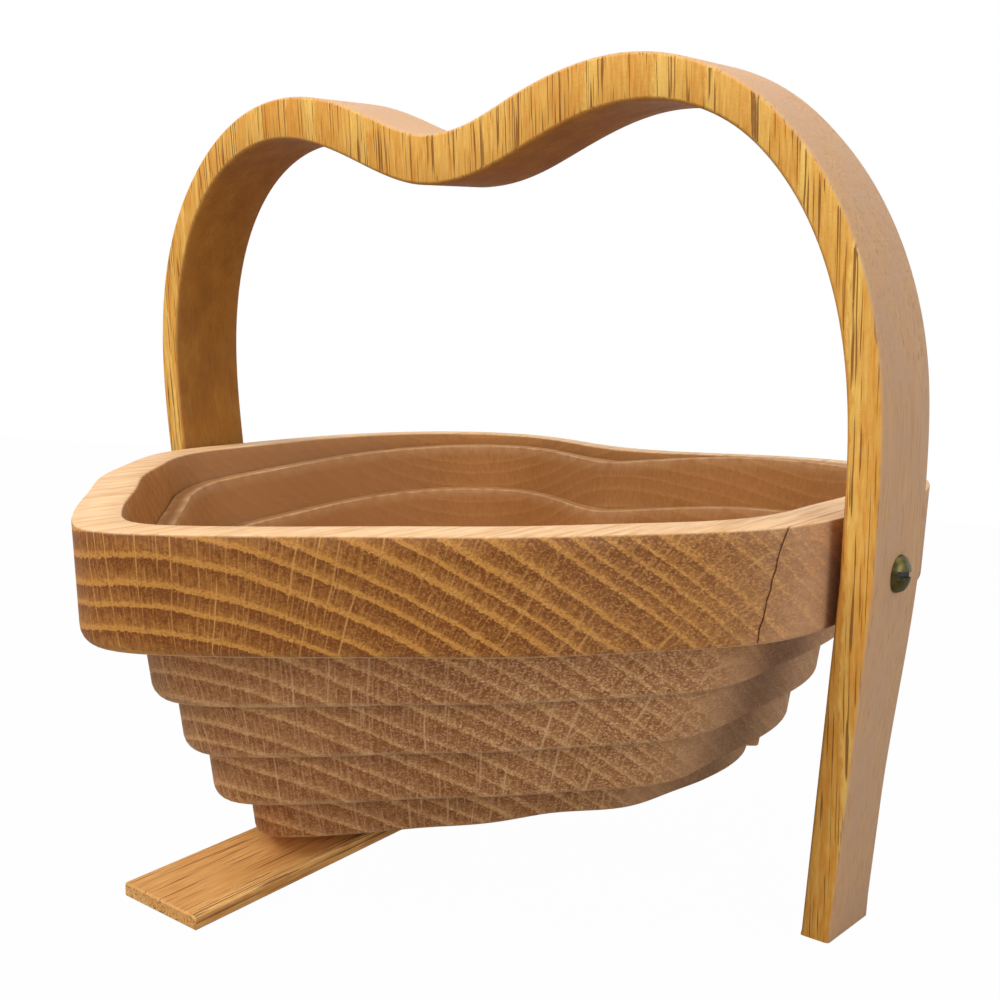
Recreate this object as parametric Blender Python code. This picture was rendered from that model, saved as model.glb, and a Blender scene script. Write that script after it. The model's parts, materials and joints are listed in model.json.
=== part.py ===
# Collapsible heart-shaped oak basket, cut from one board.
# An outer band of the board is the handle and its legs. It turns on two screws.
# The heart inside it is one spiral saw cut: a rim, three turns and a base that
# telescope down, each wedged in the one outside it by the tilt of the saw.
# Each turn starts level with the end of the one outside it, at the back right,
# and slopes down round the back and the left side until it is a step lower.
# A slat under the base swivels on a screw, and its front end is the third foot.
# Metres, +Z up, the heart's tip towards -Y. The floor is z = 0.

import bpy
import bmesh
import numpy as np
from math import atan2, cos, radians, sin, tan
from mathutils import Matrix, Vector

MM = 0.001

# The board and the saw cuts
BOARD_THICKNESS = 25.0 * MM
HEART_HALF_WIDTH = 110.5 * MM
HEART_HALF_LENGTH = 113.0 * MM
HEART_CENTRE_BACK = 5.0 * MM        # heart's centre, behind the pivot axis
RIGHT_LOBE_TRIM = 2.6 * MM          # the right lobe is sawn this much flatter than the left one
RIGHT_LOBE_BEARING = radians(157.0) # middle of the trim, and how far it reaches to either side
RIGHT_LOBE_REACH = radians(23.0)
PIVOT_RAISE = 0.4 * MM              # the pivot axis lies this far above the rim's middle
KERF = 2.4 * MM                     # width of the spiral saw cut
HANDLE_KERF = 1.8 * MM              # cut between the heart and the handle
SEAT_GAP = 0.3 * MM                 # clearance of pieces that rest on each other

# The spiral
TURN_COUNT = 3
RIM_WIDTH = 14.2 * MM               # where the cut has come round to its start
TURN_PITCH = 7.6 * MM               # a turn and one saw cut
FIRST_DROP = 15.3 * MM              # how far the first turn sinks under the rim, until it wedges
TURN_DROP = 13.7 * MM               # how far each further turn sinks under the one before
BASE_DROP = 11.6 * MM               # how far the base sinks under the last turn
RIM_LEAN = 0.9 * MM                 # the rim's outer wall leans inwards by this to its lower edge
EDGE_ROUND = 1.2 * MM               # sanded lower outer edge of rim and turns
TIP_ROUND = 4.5 * MM                # the same at the left of the tip, where it is sanded more
TIP_ROUND_BEARING = radians(-30.0)  # middle of that stretch, from the tip
TIP_ROUND_REACH = radians(55.0)     # where it has faded out, to either side
BASE_EXTRA_INSET = 3.4 * MM         # the base hangs clear of the last turn
BASE_TRIM = 5.0 * MM                # and its front right corner is cut back further
BASE_TRIM_BEARING = radians(66.0)   # middle of that stretch, from the tip
BASE_TRIM_REACH = radians(36.0)     # where it has faded out, to either side
START_ANGLE = radians(125.0)        # where the cut starts, from the tip over the right side
NECK_ANGLE = radians(52.0)          # strip that joins the last turn to the base
NECK_FALL_ANGLE = radians(44.0)     # part of the strip that slopes
# How far a turn's slope has come along the cut, as shares; below 0 and above 1 it lies level
SLOPE_RUNS = tuple(radians(degree) for degree in (0, 55, 175, 233))
SLOPE_SHARES = (-0.3, 0.28, 0.62, 1.5)
SLOPE_CENTRE_SHARE = 0.45

# The handle
HANDLE_LEAN = radians(4.0)          # forwards of square to the rim
LEG_LENGTH = 89.2 * MM              # pivot to the middle of the foot
LEG_WIDTH = 7.8 * MM
CROWN_WIDTH = 12.6 * MM
FOOT_WIDTH = 7.0 * MM
LEG_DRAW_IN = 7.2 * MM              # how much closer the feet stand than the pivots
EDGE_EASE = 0.9 * MM
CROWN_FROM = radians(130.0)         # the band widens between these two angles
CROWN_TO = radians(162.0)

# The swivel foot
SLAT_WIDTH = 25.0 * MM
SLAT_THICKNESS = 3.3 * MM
SLAT_HALF_LENGTH = 95.8 * MM
SLAT_PIVOT_FORWARD = 12.5 * MM      # its screw, in front of the pivot axis
SLAT_EASE = 0.4 * MM

# Screws and washer
HEAD_RADIUS = 4.3 * MM
HEAD_HEIGHT = 2.9 * MM
HEAD_RIM_HEIGHT = 0.6 * MM
SLOT_WIDTH = 1.3 * MM
SLOT_DEPTH = 1.4 * MM
SHANK_RADIUS = 2.2 * MM
POINT_LENGTH = 2.0 * MM
POINT_RADIUS = 0.6 * MM
PIVOT_SCREW_BITE = 6.8 * MM         # how far a pivot screw reaches into the rim
FOOT_SCREW_BITE = 14.0 * MM
WASHER_RADIUS = 6.0 * MM
WASHER_THICKNESS = 3.5 * MM
RUNNING_CLEARANCE = 0.3 * MM

# How finely curves are drawn and worked out
HEART_STATIONS = 96
CROWN_STATIONS = 64
LEG_STATIONS = 4
ROUND_STEPS = 3
DOME_STEPS = 4
SCREW_SIDES = 20
SMOOTH_ANGLE = radians(40.0)        # sharper edges than this stay crisp in shading
NORMAL_STEP = radians(0.1)
SIDE_SEARCH = (radians(60.0), radians(120.0))
SIDE_HALVINGS = 40
MERGE_DISTANCE = 0.01 * MM
CUT_OVERRUN = 2.0 * MM

# Reach of the heart from its tip, at angle 0, to its dip, as shares of the half width and half length
REACH_ANGLES = tuple(radians(degree) for degree in (0, 7, 15, 27, 42, 58, 75, 90, 105, 120, 135, 150, 165, 180))
REACH_SHARES = (1.124, 1.08, 1.014, 0.948, 0.929, 0.939, 0.992, 0.99, 1.03, 1.09, 1.105, 1.008, 0.813, 0.732)

HALF_BOARD = BOARD_THICKNESS / 2
BEVEL = (KERF - SEAT_GAP) / FIRST_DROP          # tangent of the saw's tilt
TAPER = BOARD_THICKNESS * BEVEL
FULL_TURN = radians(360.0)
HALF_TURN = FULL_TURN / 2
QUARTER_TURN = FULL_TURN / 4
HEART_CENTRE = Vector((0.0, HEART_CENTRE_BACK))

# Heights in the rim's own frame, whose origin is the middle of the pivot axis
RIM_TOP = HALF_BOARD - PIVOT_RAISE
LAST_LEVEL = FIRST_DROP + TURN_DROP * (TURN_COUNT - 1)
BASE_LEVEL = LAST_LEVEL + BASE_DROP
BASE_BOTTOM = RIM_TOP - BOARD_THICKNESS - BASE_LEVEL
SLAT_TOP = BASE_BOTTOM - SEAT_GAP - WASHER_THICKNESS - SEAT_GAP
SLAT_BOTTOM = SLAT_TOP - SLAT_THICKNESS
SLAT_FRONT = SLAT_PIVOT_FORWARD + SLAT_HALF_LENGTH - SLAT_EASE
# The basket tips forwards until the slat's front edge and both feet meet the floor
RIM_TILT = atan2(LEG_LENGTH * cos(HANDLE_LEAN) + SLAT_BOTTOM, LEG_LENGTH * sin(HANDLE_LEAN) + SLAT_FRONT)
LEG_LEAN = RIM_TILT + HANDLE_LEAN
PIVOT_HEIGHT = LEG_LENGTH * cos(LEG_LEAN)


def remove_everything():
    for thing in list(bpy.data.objects):
        bpy.data.objects.remove(thing, do_unlink=True)


def smooth_step(value):
    share = min(max(value, 0.0), 1.0)
    return share * share * (3 - 2 * share)


def spline_slopes():
    """Slopes of the cubic curve through REACH_SHARES that is level at the tip and at the dip."""
    count = len(REACH_ANGLES)
    steps = np.diff(REACH_ANGLES)
    rises = np.diff(REACH_SHARES)
    system = np.eye(count)
    target = np.zeros(count)
    for n in range(1, count - 1):
        before, after = 1 / steps[n - 1], 1 / steps[n]
        system[n, n - 1:n + 2] = (before, 2 * (before + after), after)
        target[n] = 3 * (rises[n - 1] * before**2 + rises[n] * after**2)
    return np.linalg.solve(system, target)


REACH_SLOPES = spline_slopes()


def reach_share(angle):
    """Reach of the heart at an angle from its tip, the same on both halves."""
    fold = abs((angle + HALF_TURN) % FULL_TURN - HALF_TURN)
    n = min(int(np.searchsorted(REACH_ANGLES, fold, side="right")), len(REACH_ANGLES) - 1) - 1
    step = REACH_ANGLES[n + 1] - REACH_ANGLES[n]
    t = (fold - REACH_ANGLES[n]) / step
    ease = smooth_step(t)
    return float(
        (1 - ease) * REACH_SHARES[n] + ease * REACH_SHARES[n + 1]
        + step * t * (1 - t) * ((1 - t) * REACH_SLOPES[n] - t * REACH_SLOPES[n + 1])
    )


def lobe_trim(angle):
    away = abs(angle % FULL_TURN - RIGHT_LOBE_BEARING)
    return RIGHT_LOBE_TRIM * (1 - smooth_step(away / RIGHT_LOBE_REACH))


def heart_point(angle, inset=0.0):
    """Point of the heart's outline, moved `inset` inwards. The tip is at angle 0, +X at 90 degrees."""
    share = reach_share(angle)
    out = Vector((HEART_HALF_WIDTH * share * sin(angle), -HEART_HALF_LENGTH * share * cos(angle)))
    return HEART_CENTRE + out * (1 - (inset + lobe_trim(angle)) / out.length)


def heart_normal(angle):
    """Unit vector that points out of the heart, square to its outline."""
    along = heart_point(angle + NORMAL_STEP) - heart_point(angle - NORMAL_STEP)
    return Vector((along.y, -along.x)).normalized()


def side_angle(back=0.0):
    """Angle at which the outline's right side is `back` behind the pivot axis, found by halving."""
    low, high = SIDE_SEARCH
    for _ in range(SIDE_HALVINGS):
        middle = (low + high) / 2
        if heart_point(middle).y < back:
            low = middle
        else:
            high = middle
    return low


def share_along(point, first, last):
    """How far a point has come along the straight way from first to last, eased at both ends."""
    along = last - first
    return smooth_step((point - first).dot(along) / along.length_squared)


def cut_inset(loop, run):
    """Depth of the spiral cut from the outline: `loop` whole turns and the angle `run` into the next."""
    return RIM_WIDTH + TURN_PITCH * (loop - 1 + run / FULL_TURN)


def cut_place(run, inset):
    return heart_point(START_ANGLE + run, inset)


def slope_share(run, point):
    """How far a turn has sunk at a point. Between two of the slope's stations it follows one straight way."""
    for n in range(len(SLOPE_RUNS) - 1):
        if run <= SLOPE_RUNS[n + 1]:
            first, last = (cut_place(SLOPE_RUNS[end], 0.0) - HEART_CENTRE for end in (n, n + 1))
            area = first.cross(last)
            here = point - HEART_CENTRE
            along_first = here.cross(last) / area * (SLOPE_SHARES[n] - SLOPE_CENTRE_SHARE)
            along_last = first.cross(here) / area * (SLOPE_SHARES[n + 1] - SLOPE_CENTRE_SHARE)
            return smooth_step(SLOPE_CENTRE_SHARE + along_first + along_last)
    return 1.0


def turn_level(turn, run, point):
    """How far a point of a turn lies under its place in the flat board."""
    if turn == 1:
        return FIRST_DROP * slope_share(run, point)
    return FIRST_DROP + TURN_DROP * (turn - 2 + slope_share(run, point))


def bearing_off(run, bearing):
    """Angle between a place along the cut and a bearing from the tip."""
    return abs((START_ANGLE + run - bearing + HALF_TURN) % FULL_TURN - HALF_TURN)


def lower_round(run):
    """Radius of the sanded lower edge: large at the left of the tip, small elsewhere."""
    fade = smooth_step(bearing_off(run, TIP_ROUND_BEARING) / TIP_ROUND_REACH)
    return TIP_ROUND + (EDGE_ROUND - TIP_ROUND) * fade


def outer_wall(inset, radius, lean):
    """Points (inset, height) of an outer wall and its rounded lower edge, from the top downwards."""
    points = [(inset, HALF_BOARD)]
    foot = inset + lean * (1 - radius / BOARD_THICKNESS)
    for step in range(ROUND_STEPS + 1):
        swing = QUARTER_TURN * step / ROUND_STEPS
        points.append((foot + radius * (1 - cos(swing)), -HALF_BOARD + radius * (1 - sin(swing))))
    return points


def band_profile(outer, inner, radius, lean=TAPER):
    """Cross-section of the rim or a turn. The saw's tilt carries its inner wall inwards as it goes down."""
    return outer_wall(outer, radius, lean) + [(inner + TAPER, -HALF_BOARD), (inner, HALF_BOARD)]


def make_object(name, solid, material, parent):
    mesh = bpy.data.meshes.new(name)
    solid.to_mesh(mesh)
    solid.free()
    mesh.materials.append(material)
    mesh.shade_smooth()
    mesh.set_sharp_from_angle(angle=SMOOTH_ANGLE)
    thing = bpy.data.objects.new(name, mesh)
    bpy.context.scene.collection.objects.link(thing)
    thing.parent = parent
    return thing


def sweep(sections, closed):
    """Solid through a row of cross-sections that all have the same number of points."""
    solid = bmesh.new()
    rings = [[solid.verts.new(point) for point in section] for section in sections]
    pairs = list(zip(rings, rings[1:]))
    if closed:
        pairs.append((rings[-1], rings[0]))
    for ring, following in pairs:
        for here in range(len(ring)):
            there = (here + 1) % len(ring)
            solid.faces.new((ring[here], ring[there], following[there], following[here]))
    if not closed:
        solid.faces.new(rings[0])
        solid.faces.new(rings[-1])
    bmesh.ops.recalc_face_normals(solid, faces=solid.faces)
    return solid


def cut_away(target, solid, purpose):
    """Takes a solid, given in the target's own frame, out of the target."""
    mesh = bpy.data.meshes.new(f"{target.name}_{purpose}")
    solid.to_mesh(mesh)
    solid.free()
    cutter = bpy.data.objects.new(mesh.name, mesh)
    bpy.context.scene.collection.objects.link(cutter)
    cutter.parent = target
    cutter.hide_render = True
    cutter.display_type = "WIRE"
    cut = target.modifiers.new(cutter.name, "BOOLEAN")
    cut.operation = "DIFFERENCE"
    cut.solver = "EXACT"
    cut.object = cutter


def drill(target, centre, axis, start, end):
    """Cuts a screw's running hole along `axis`, between two distances from `centre`."""
    solid = bmesh.new()
    radius = SHANK_RADIUS + RUNNING_CLEARANCE
    bmesh.ops.create_cone(
        solid, cap_ends=True, segments=SCREW_SIDES, radius1=radius, radius2=radius, depth=abs(end - start)
    )
    turn = Vector((0, 0, 1)).rotation_difference(axis).to_matrix().to_4x4()
    solid.transform(Matrix.Translation(centre + axis * (start + end) / 2) @ turn)
    cut_away(target, solid, "drill")


def block(size, middle):
    """Box of a given size about its middle."""
    solid = bmesh.new()
    bmesh.ops.create_cube(solid, size=1.0)
    bmesh.ops.scale(solid, vec=size, verts=solid.verts)
    bmesh.ops.translate(solid, vec=middle, verts=solid.verts)
    return solid


def cut_section(run, profile, sink):
    """A cross-section of (inset, height) points, set up at one place along the cut and sunk."""
    section = []
    for inset, height in profile:
        point = cut_place(run, inset)
        section.append((point.x, point.y, height - PIVOT_RAISE - sink(point)))
    return section


def station_runs(first, last):
    """Angles along the cut. All turns share them, so that facing walls keep an even gap."""
    step = FULL_TURN / HEART_STATIONS
    margin = step / 4
    shared = [step * n for n in range(1, HEART_STATIONS)]
    return [first] + [run for run in shared if first + margin < run < last - margin] + [last]


def seam_run(inset):
    """Half of the clearance where one turn's end meets the next one's start, as an angle."""
    return SEAT_GAP / 2 / (cut_place(0.0, inset) - HEART_CENTRE).length


def make_rim(material, parent):
    sections = []
    for run in station_runs(0.0, FULL_TURN - seam_run(RIM_WIDTH)):
        profile = band_profile(0.0, cut_inset(0, run), lower_round(run), RIM_LEAN)
        sections.append(cut_section(run, profile, lambda point: 0.0))
    return make_object("basket_rim", sweep(sections, closed=True), material, parent)


def make_turn(turn, material, parent):
    seam = seam_run(cut_inset(turn, 0.0))
    sections = []
    for run in station_runs(seam, FULL_TURN - seam):
        profile = band_profile(cut_inset(turn - 1, run) + KERF, cut_inset(turn, run), lower_round(run))
        sections.append(cut_section(run, profile, lambda point: turn_level(turn, run, point)))
    return make_object(f"spiral_turn_{turn}", sweep(sections, closed=False), material, parent)


def make_base(material, parent):
    """The heart's middle. A neck of the last turn slopes down to it, with a short saw cut beside it."""
    middle = cut_inset(TURN_COUNT, 0.0) + (KERF + TURN_PITCH) / 2
    neck_start = cut_place(0.0, middle)
    neck_end = cut_place(NECK_FALL_ANGLE, middle)

    def neck_sink(point):
        return LAST_LEVEL + BASE_DROP * share_along(point, neck_start, neck_end)

    def edge_inset(run):
        """The edge keeps clear of the last turn, also where that lies much higher."""
        inset = cut_inset(TURN_COUNT, run) + KERF
        point = cut_place(run, inset)
        overhang = BEVEL * (neck_sink(point) - turn_level(TURN_COUNT, run, point)) - (KERF - SEAT_GAP)
        extra = BASE_EXTRA_INSET * smooth_step((run - NECK_ANGLE) / HALF_TURN)
        trim = BASE_TRIM * (1 - smooth_step(bearing_off(run, BASE_TRIM_BEARING) / BASE_TRIM_REACH))
        return inset + max(overhang, extra + trim)

    def slot_inset(run):
        return cut_inset(TURN_COUNT + 1, run)

    solid = bmesh.new()

    def wall(run, inset):
        """The top and bottom corners of the wall at one station."""
        on_neck = run < NECK_ANGLE and inset <= slot_inset(run)
        profile = ((inset, HALF_BOARD), (inset + TAPER, -HALF_BOARD))
        places = cut_section(run, profile, neck_sink if on_neck else lambda point: BASE_LEVEL)
        return [solid.verts.new(place) for place in places]

    neck_runs = station_runs(seam_run(cut_inset(TURN_COUNT, 0.0)), NECK_ANGLE)
    edge_runs = station_runs(NECK_ANGLE, FULL_TURN)[1:]
    outer = [wall(run, edge_inset(run)) for run in neck_runs]
    inner = [wall(run, slot_inset(run)) for run in neck_runs]
    edge = [wall(run, edge_inset(run)) for run in edge_runs]
    slot = [wall(run, slot_inset(run) + KERF) for run in neck_runs]
    boundary = outer + edge + slot + inner[::-1]
    for here, there in zip(boundary, boundary[1:] + boundary[:1]):
        solid.faces.new((here[0], there[0], there[1], here[1]))
    for side in (0, 1):
        plate = [outer[-1]] + edge + slot + [inner[-1]]
        solid.faces.new([corners[side] for corners in plate])
        for n in range(len(neck_runs) - 1):
            solid.faces.new((outer[n][side], outer[n + 1][side], inner[n + 1][side], inner[n][side]))
    bmesh.ops.recalc_face_normals(solid, faces=solid.faces)
    base = make_object("basket_base", solid, material, parent)
    drill(base, Vector((0, -SLAT_PIVOT_FORWARD, BASE_BOTTOM)), Vector((0, 0, 1)),
          -CUT_OVERRUN, FOOT_SCREW_BITE + RUNNING_CLEARANCE)
    return base


def handle_arch():
    """Inner and outer edge of the handle round the heart, from the right leg over the crown to the left leg."""
    right_side = side_angle()
    left_side = FULL_TURN - right_side
    arch = []
    for n in range(CROWN_STATIONS + 1):
        angle = right_side + (left_side - right_side) * n / CROWN_STATIONS
        widening = smooth_step((min(angle, FULL_TURN - angle) - CROWN_FROM) / (CROWN_TO - CROWN_FROM))
        width = LEG_WIDTH + (CROWN_WIDTH - LEG_WIDTH) * widening
        point = heart_point(angle)
        out = heart_normal(angle)
        arch.append((point + out * HANDLE_KERF, point + out * (HANDLE_KERF + width)))
    return arch


def handle_section(inner, outer, slant):
    """Cross-section of the handle with eased edges. `slant` cuts a foot level with the floor."""
    across = (outer - inner).normalized() * EDGE_EASE
    corners = [
        (inner + across, -HALF_BOARD), (outer - across, -HALF_BOARD),
        (outer, EDGE_EASE - HALF_BOARD), (outer, HALF_BOARD - EDGE_EASE),
        (outer - across, HALF_BOARD), (inner + across, HALF_BOARD),
        (inner, HALF_BOARD - EDGE_EASE), (inner, EDGE_EASE - HALF_BOARD),
    ]
    return [(place.x, depth, place.y - depth * slant) for place, depth in corners]


def make_handle(material, parent):
    arch = handle_arch()
    right = []
    for n in range(LEG_STATIONS):
        share = 1 - n / LEG_STATIONS
        inner = Vector((arch[0][0].x - LEG_DRAW_IN * share, -LEG_LENGTH * share))
        right.append((inner, inner + Vector((LEG_WIDTH + (FOOT_WIDTH - LEG_WIDTH) * share, 0.0))))
    left = [(Vector((-inner.x, inner.y)), Vector((-outer.x, outer.y))) for inner, outer in right[::-1]]
    rows = right + arch + left
    sections = []
    for row in rows:
        is_foot = row is rows[0] or row is rows[-1]
        sections.append(handle_section(*row, slant=tan(LEG_LEAN) if is_foot else 0.0))
    handle = make_object("handle_frame", sweep(sections, closed=False), material, parent)
    half_span = arch[0][1].x + CUT_OVERRUN
    drill(handle, Vector((0, 0, 0)), Vector((1, 0, 0)), -half_span, half_span)
    return handle


def make_slat(material, parent):
    """The swivel foot, centred on its screw, which is its parent's Z axis."""
    solid = block((SLAT_WIDTH, 2 * SLAT_HALF_LENGTH, SLAT_THICKNESS), (0, 0, (SLAT_TOP + SLAT_BOTTOM) / 2))
    bmesh.ops.bevel(solid, geom=solid.edges, offset=SLAT_EASE, segments=1, affect="EDGES")
    slat = make_object("swivel_foot", solid, material, parent)
    drill(slat, Vector((0, 0, 0)), Vector((0, 0, 1)), SLAT_BOTTOM - CUT_OVERRUN, SLAT_TOP + CUT_OVERRUN)
    return slat


def turned(profile):
    """Solid of revolution about Z from (radius, height) points that start and end on the axis."""
    solid = bmesh.new()
    chain = [solid.verts.new((radius, 0, height)) for radius, height in profile]
    edges = [solid.edges.new(pair) for pair in zip(chain, chain[1:])]
    bmesh.ops.spin(
        solid, geom=chain + edges, cent=(0, 0, 0), axis=(0, 0, 1),
        angle=FULL_TURN, steps=SCREW_SIDES, use_merge=True,
    )
    bmesh.ops.remove_doubles(solid, verts=solid.verts, dist=MERGE_DISTANCE)
    bmesh.ops.recalc_face_normals(solid, faces=solid.faces)
    return solid


def make_screw(name, length, material, parent, place, direction):
    """Round-head slotted screw. Its head sits above `place` and its shank runs against `direction`."""
    dome = HEAD_HEIGHT - HEAD_RIM_HEIGHT
    profile = [(0.0, HEAD_HEIGHT)]
    for step in range(1, DOME_STEPS + 1):
        swing = QUARTER_TURN * step / DOME_STEPS
        profile.append((HEAD_RADIUS * sin(swing), HEAD_RIM_HEIGHT + dome * cos(swing)))
    profile += [
        (HEAD_RADIUS, 0.0), (SHANK_RADIUS, 0.0), (SHANK_RADIUS, POINT_LENGTH - length),
        (POINT_RADIUS, -length), (0.0, -length),
    ]
    screw = make_object(name, turned(profile), material, parent)
    screw.location = place
    screw.rotation_euler = Vector((0, 0, 1)).rotation_difference(direction).to_euler()
    depth = SLOT_DEPTH + CUT_OVERRUN
    middle = (0, 0, HEAD_HEIGHT - SLOT_DEPTH + depth / 2)
    cut_away(screw, block((SLOT_WIDTH, 2 * (HEAD_RADIUS + CUT_OVERRUN), depth), middle), "slot")
    return screw


def make_pivot_screws(rim, material, parent):
    """Head on the leg, shank through the leg into the rim."""
    wall = heart_point(side_angle()).x
    head_top = side_angle(HEAD_RADIUS)
    leg_face = heart_point(head_top).x + heart_normal(head_top).x * (HANDLE_KERF + LEG_WIDTH) + SEAT_GAP
    length = leg_face - wall + PIVOT_SCREW_BITE
    screws = []
    for name, side in (("pivot_screw_right", 1), ("pivot_screw_left", -1)):
        outwards = Vector((side, 0, 0))
        screws.append(make_screw(name, length, material, parent, outwards * leg_face, outwards))
        drill(rim, Vector((0, 0, 0)), outwards, wall - PIVOT_SCREW_BITE - RUNNING_CLEARANCE, wall + CUT_OVERRUN)
    return screws


def make_foot_screw(material, parent):
    """It comes up through the slat and the washer into the base."""
    place = Vector((0, 0, SLAT_BOTTOM - SEAT_GAP))
    length = BASE_BOTTOM + FOOT_SCREW_BITE - place.z
    return make_screw("foot_screw", length, material, parent, place, Vector((0, 0, -1)))


def make_washer(material, parent):
    bore = SHANK_RADIUS + RUNNING_CLEARANCE
    low = SLAT_TOP + SEAT_GAP
    high = low + WASHER_THICKNESS
    sections = []
    for side in range(SCREW_SIDES):
        swing = FULL_TURN * side / SCREW_SIDES
        corners = ((bore, low), (WASHER_RADIUS, low), (WASHER_RADIUS, high), (bore, high))
        sections.append([(radius * cos(swing), radius * sin(swing), height) for radius, height in corners])
    return make_object("foot_washer", sweep(sections, closed=True), material, parent)


def make_empty(name, parent=None, location=(0, 0, 0), turn_x=0.0):
    empty = bpy.data.objects.new(name, None)
    bpy.context.scene.collection.objects.link(empty)
    empty.parent = parent
    empty.location = location
    empty.rotation_euler = (turn_x, 0, 0)
    return empty


def make_material(name, colour, roughness, metallic=0.0):
    material = bpy.data.materials.new(name)
    material.use_nodes = True
    shader = material.node_tree.nodes["Principled BSDF"]
    shader.inputs["Base Color"].default_value = (*colour, 1.0)
    shader.inputs["Roughness"].default_value = roughness
    shader.inputs["Metallic"].default_value = metallic
    material.diffuse_color = (*colour, 1.0)
    return material


def centre_on_origin(root, things):
    """Moves the whole basket so that the middle of its footprint is over the origin."""
    bpy.context.view_layer.update()
    spots = [thing.matrix_world @ vertex.co for thing in things for vertex in thing.data.vertices]
    root.location.x -= (min(spot.x for spot in spots) + max(spot.x for spot in spots)) / 2
    root.location.y -= (min(spot.y for spot in spots) + max(spot.y for spot in spots)) / 2


def main():
    remove_everything()
    handle_oak = make_material("handle_oak", (0.60, 0.33, 0.13), 0.55)
    bowl_oak = make_material("bowl_oak", (0.43, 0.22, 0.10), 0.6)
    foot_oak = make_material("foot_oak", (0.58, 0.31, 0.12), 0.55)
    brass = make_material("aged_brass", (0.36, 0.30, 0.15), 0.4, metallic=1.0)

    root = make_empty("basket", location=(0, 0, PIVOT_HEIGHT))
    bowl_axis = make_empty("bowl_axis", root, turn_x=RIM_TILT)
    handle_axis = make_empty("handle_axis", bowl_axis, turn_x=HANDLE_LEAN)
    foot_axis = make_empty("foot_axis", bowl_axis, location=(0, -SLAT_PIVOT_FORWARD, 0))

    handle = make_handle(handle_oak, handle_axis)
    rim = make_rim(bowl_oak, bowl_axis)
    turns = [make_turn(turn, bowl_oak, bowl_axis) for turn in range(1, TURN_COUNT + 1)]
    base = make_base(bowl_oak, bowl_axis)
    slat = make_slat(foot_oak, foot_axis)
    washer = make_washer(brass, foot_axis)
    screws = make_pivot_screws(rim, brass, bowl_axis) + [make_foot_screw(brass, foot_axis)]
    centre_on_origin(root, [handle, rim, base, slat, washer] + turns + screws)


main()
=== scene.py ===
# Looks of the collapsible oak basket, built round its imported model. Metres, +Z up
# One board makes it all: the handle band outside, and inside it one spiral saw cut
# that drops open as rim, turns and base. Every piece remembers where its wood lay
# in the flat board (attribute "boardSpot"), so the grain runs through all of them

import json
import random
from math import atan2, cos, pi, radians, sin, tan

import bpy
import bmesh
from mathutils import Matrix, Vector
from mathutils.kdtree import KDTree


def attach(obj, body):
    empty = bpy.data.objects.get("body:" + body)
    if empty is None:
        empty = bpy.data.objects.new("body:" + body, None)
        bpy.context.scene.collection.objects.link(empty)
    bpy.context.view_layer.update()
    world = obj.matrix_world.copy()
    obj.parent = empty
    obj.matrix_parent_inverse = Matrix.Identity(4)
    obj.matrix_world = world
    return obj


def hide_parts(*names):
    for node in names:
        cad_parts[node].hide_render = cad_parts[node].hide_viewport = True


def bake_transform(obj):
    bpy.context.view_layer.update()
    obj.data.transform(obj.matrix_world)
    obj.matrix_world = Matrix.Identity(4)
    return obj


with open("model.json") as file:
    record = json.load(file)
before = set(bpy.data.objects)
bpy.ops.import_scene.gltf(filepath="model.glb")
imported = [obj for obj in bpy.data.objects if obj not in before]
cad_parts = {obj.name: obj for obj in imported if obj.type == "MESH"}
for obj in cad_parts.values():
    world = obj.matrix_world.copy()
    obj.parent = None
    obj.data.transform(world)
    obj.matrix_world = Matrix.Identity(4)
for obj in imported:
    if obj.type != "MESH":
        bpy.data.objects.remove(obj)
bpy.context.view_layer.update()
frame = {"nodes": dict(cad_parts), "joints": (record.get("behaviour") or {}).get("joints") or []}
mm = 0.001

# The board and its spiral, the same sizes as the model's
board = {
    "thickness": 25.0 * mm,
    "halfWidth": 110.5 * mm,
    "halfLength": 113.0 * mm,
    "centreBack": 5.0 * mm,
    "pivotRaise": 0.4 * mm,
    "kerf": 2.4 * mm,
    "handleKerf": 1.8 * mm,
    "seatGap": 0.3 * mm,
    "reachAngles": [radians(a) for a in (0, 7, 15, 27, 42, 58, 75, 90, 105, 120, 135, 150, 165, 180)],
    "reachShares": (
        1.124, 1.08, 1.014, 0.948, 0.929, 0.939, 0.992, 0.99, 1.03, 1.09, 1.105, 1.008, 0.813, 0.732),
    "lobeTrim": 2.6 * mm,           # the right lobe is sawn flatter than the left one
    "lobeBearing": radians(157),
    "lobeReach": radians(23),
}
halfBoard = board["thickness"] / 2
fullTurn = 2 * pi
heartCentre = Vector((0.0, board["centreBack"]))


def jointNamed(name):
    return [joint for joint in frame["joints"] if joint["name"] == name][0]


# The rim's own frame: origin in the middle of the pivot axis, Z square to the rim
rimUp = Vector(jointNamed("base_lift")["axis"]).normalized()
rimTilt = atan2(-rimUp.y, rimUp.z)
rimFrame = Matrix.Translation(Vector(jointNamed("handle_fold")["pos_m"])) @ Matrix.Rotation(rimTilt, 4, "X")
drops = [jointNamed(f"{name}_lift")["range_m"][1] for name in ("turn_1", "turn_2", "turn_3", "base")]
levels = [sum(drops[:n]) for n in range(len(drops) + 1)]


def smoothStep(value):
    share = min(max(value, 0.0), 1.0)
    return share * share * (3 - 2 * share)


def mix(a, b, share):
    return a + (b - a) * share


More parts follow.
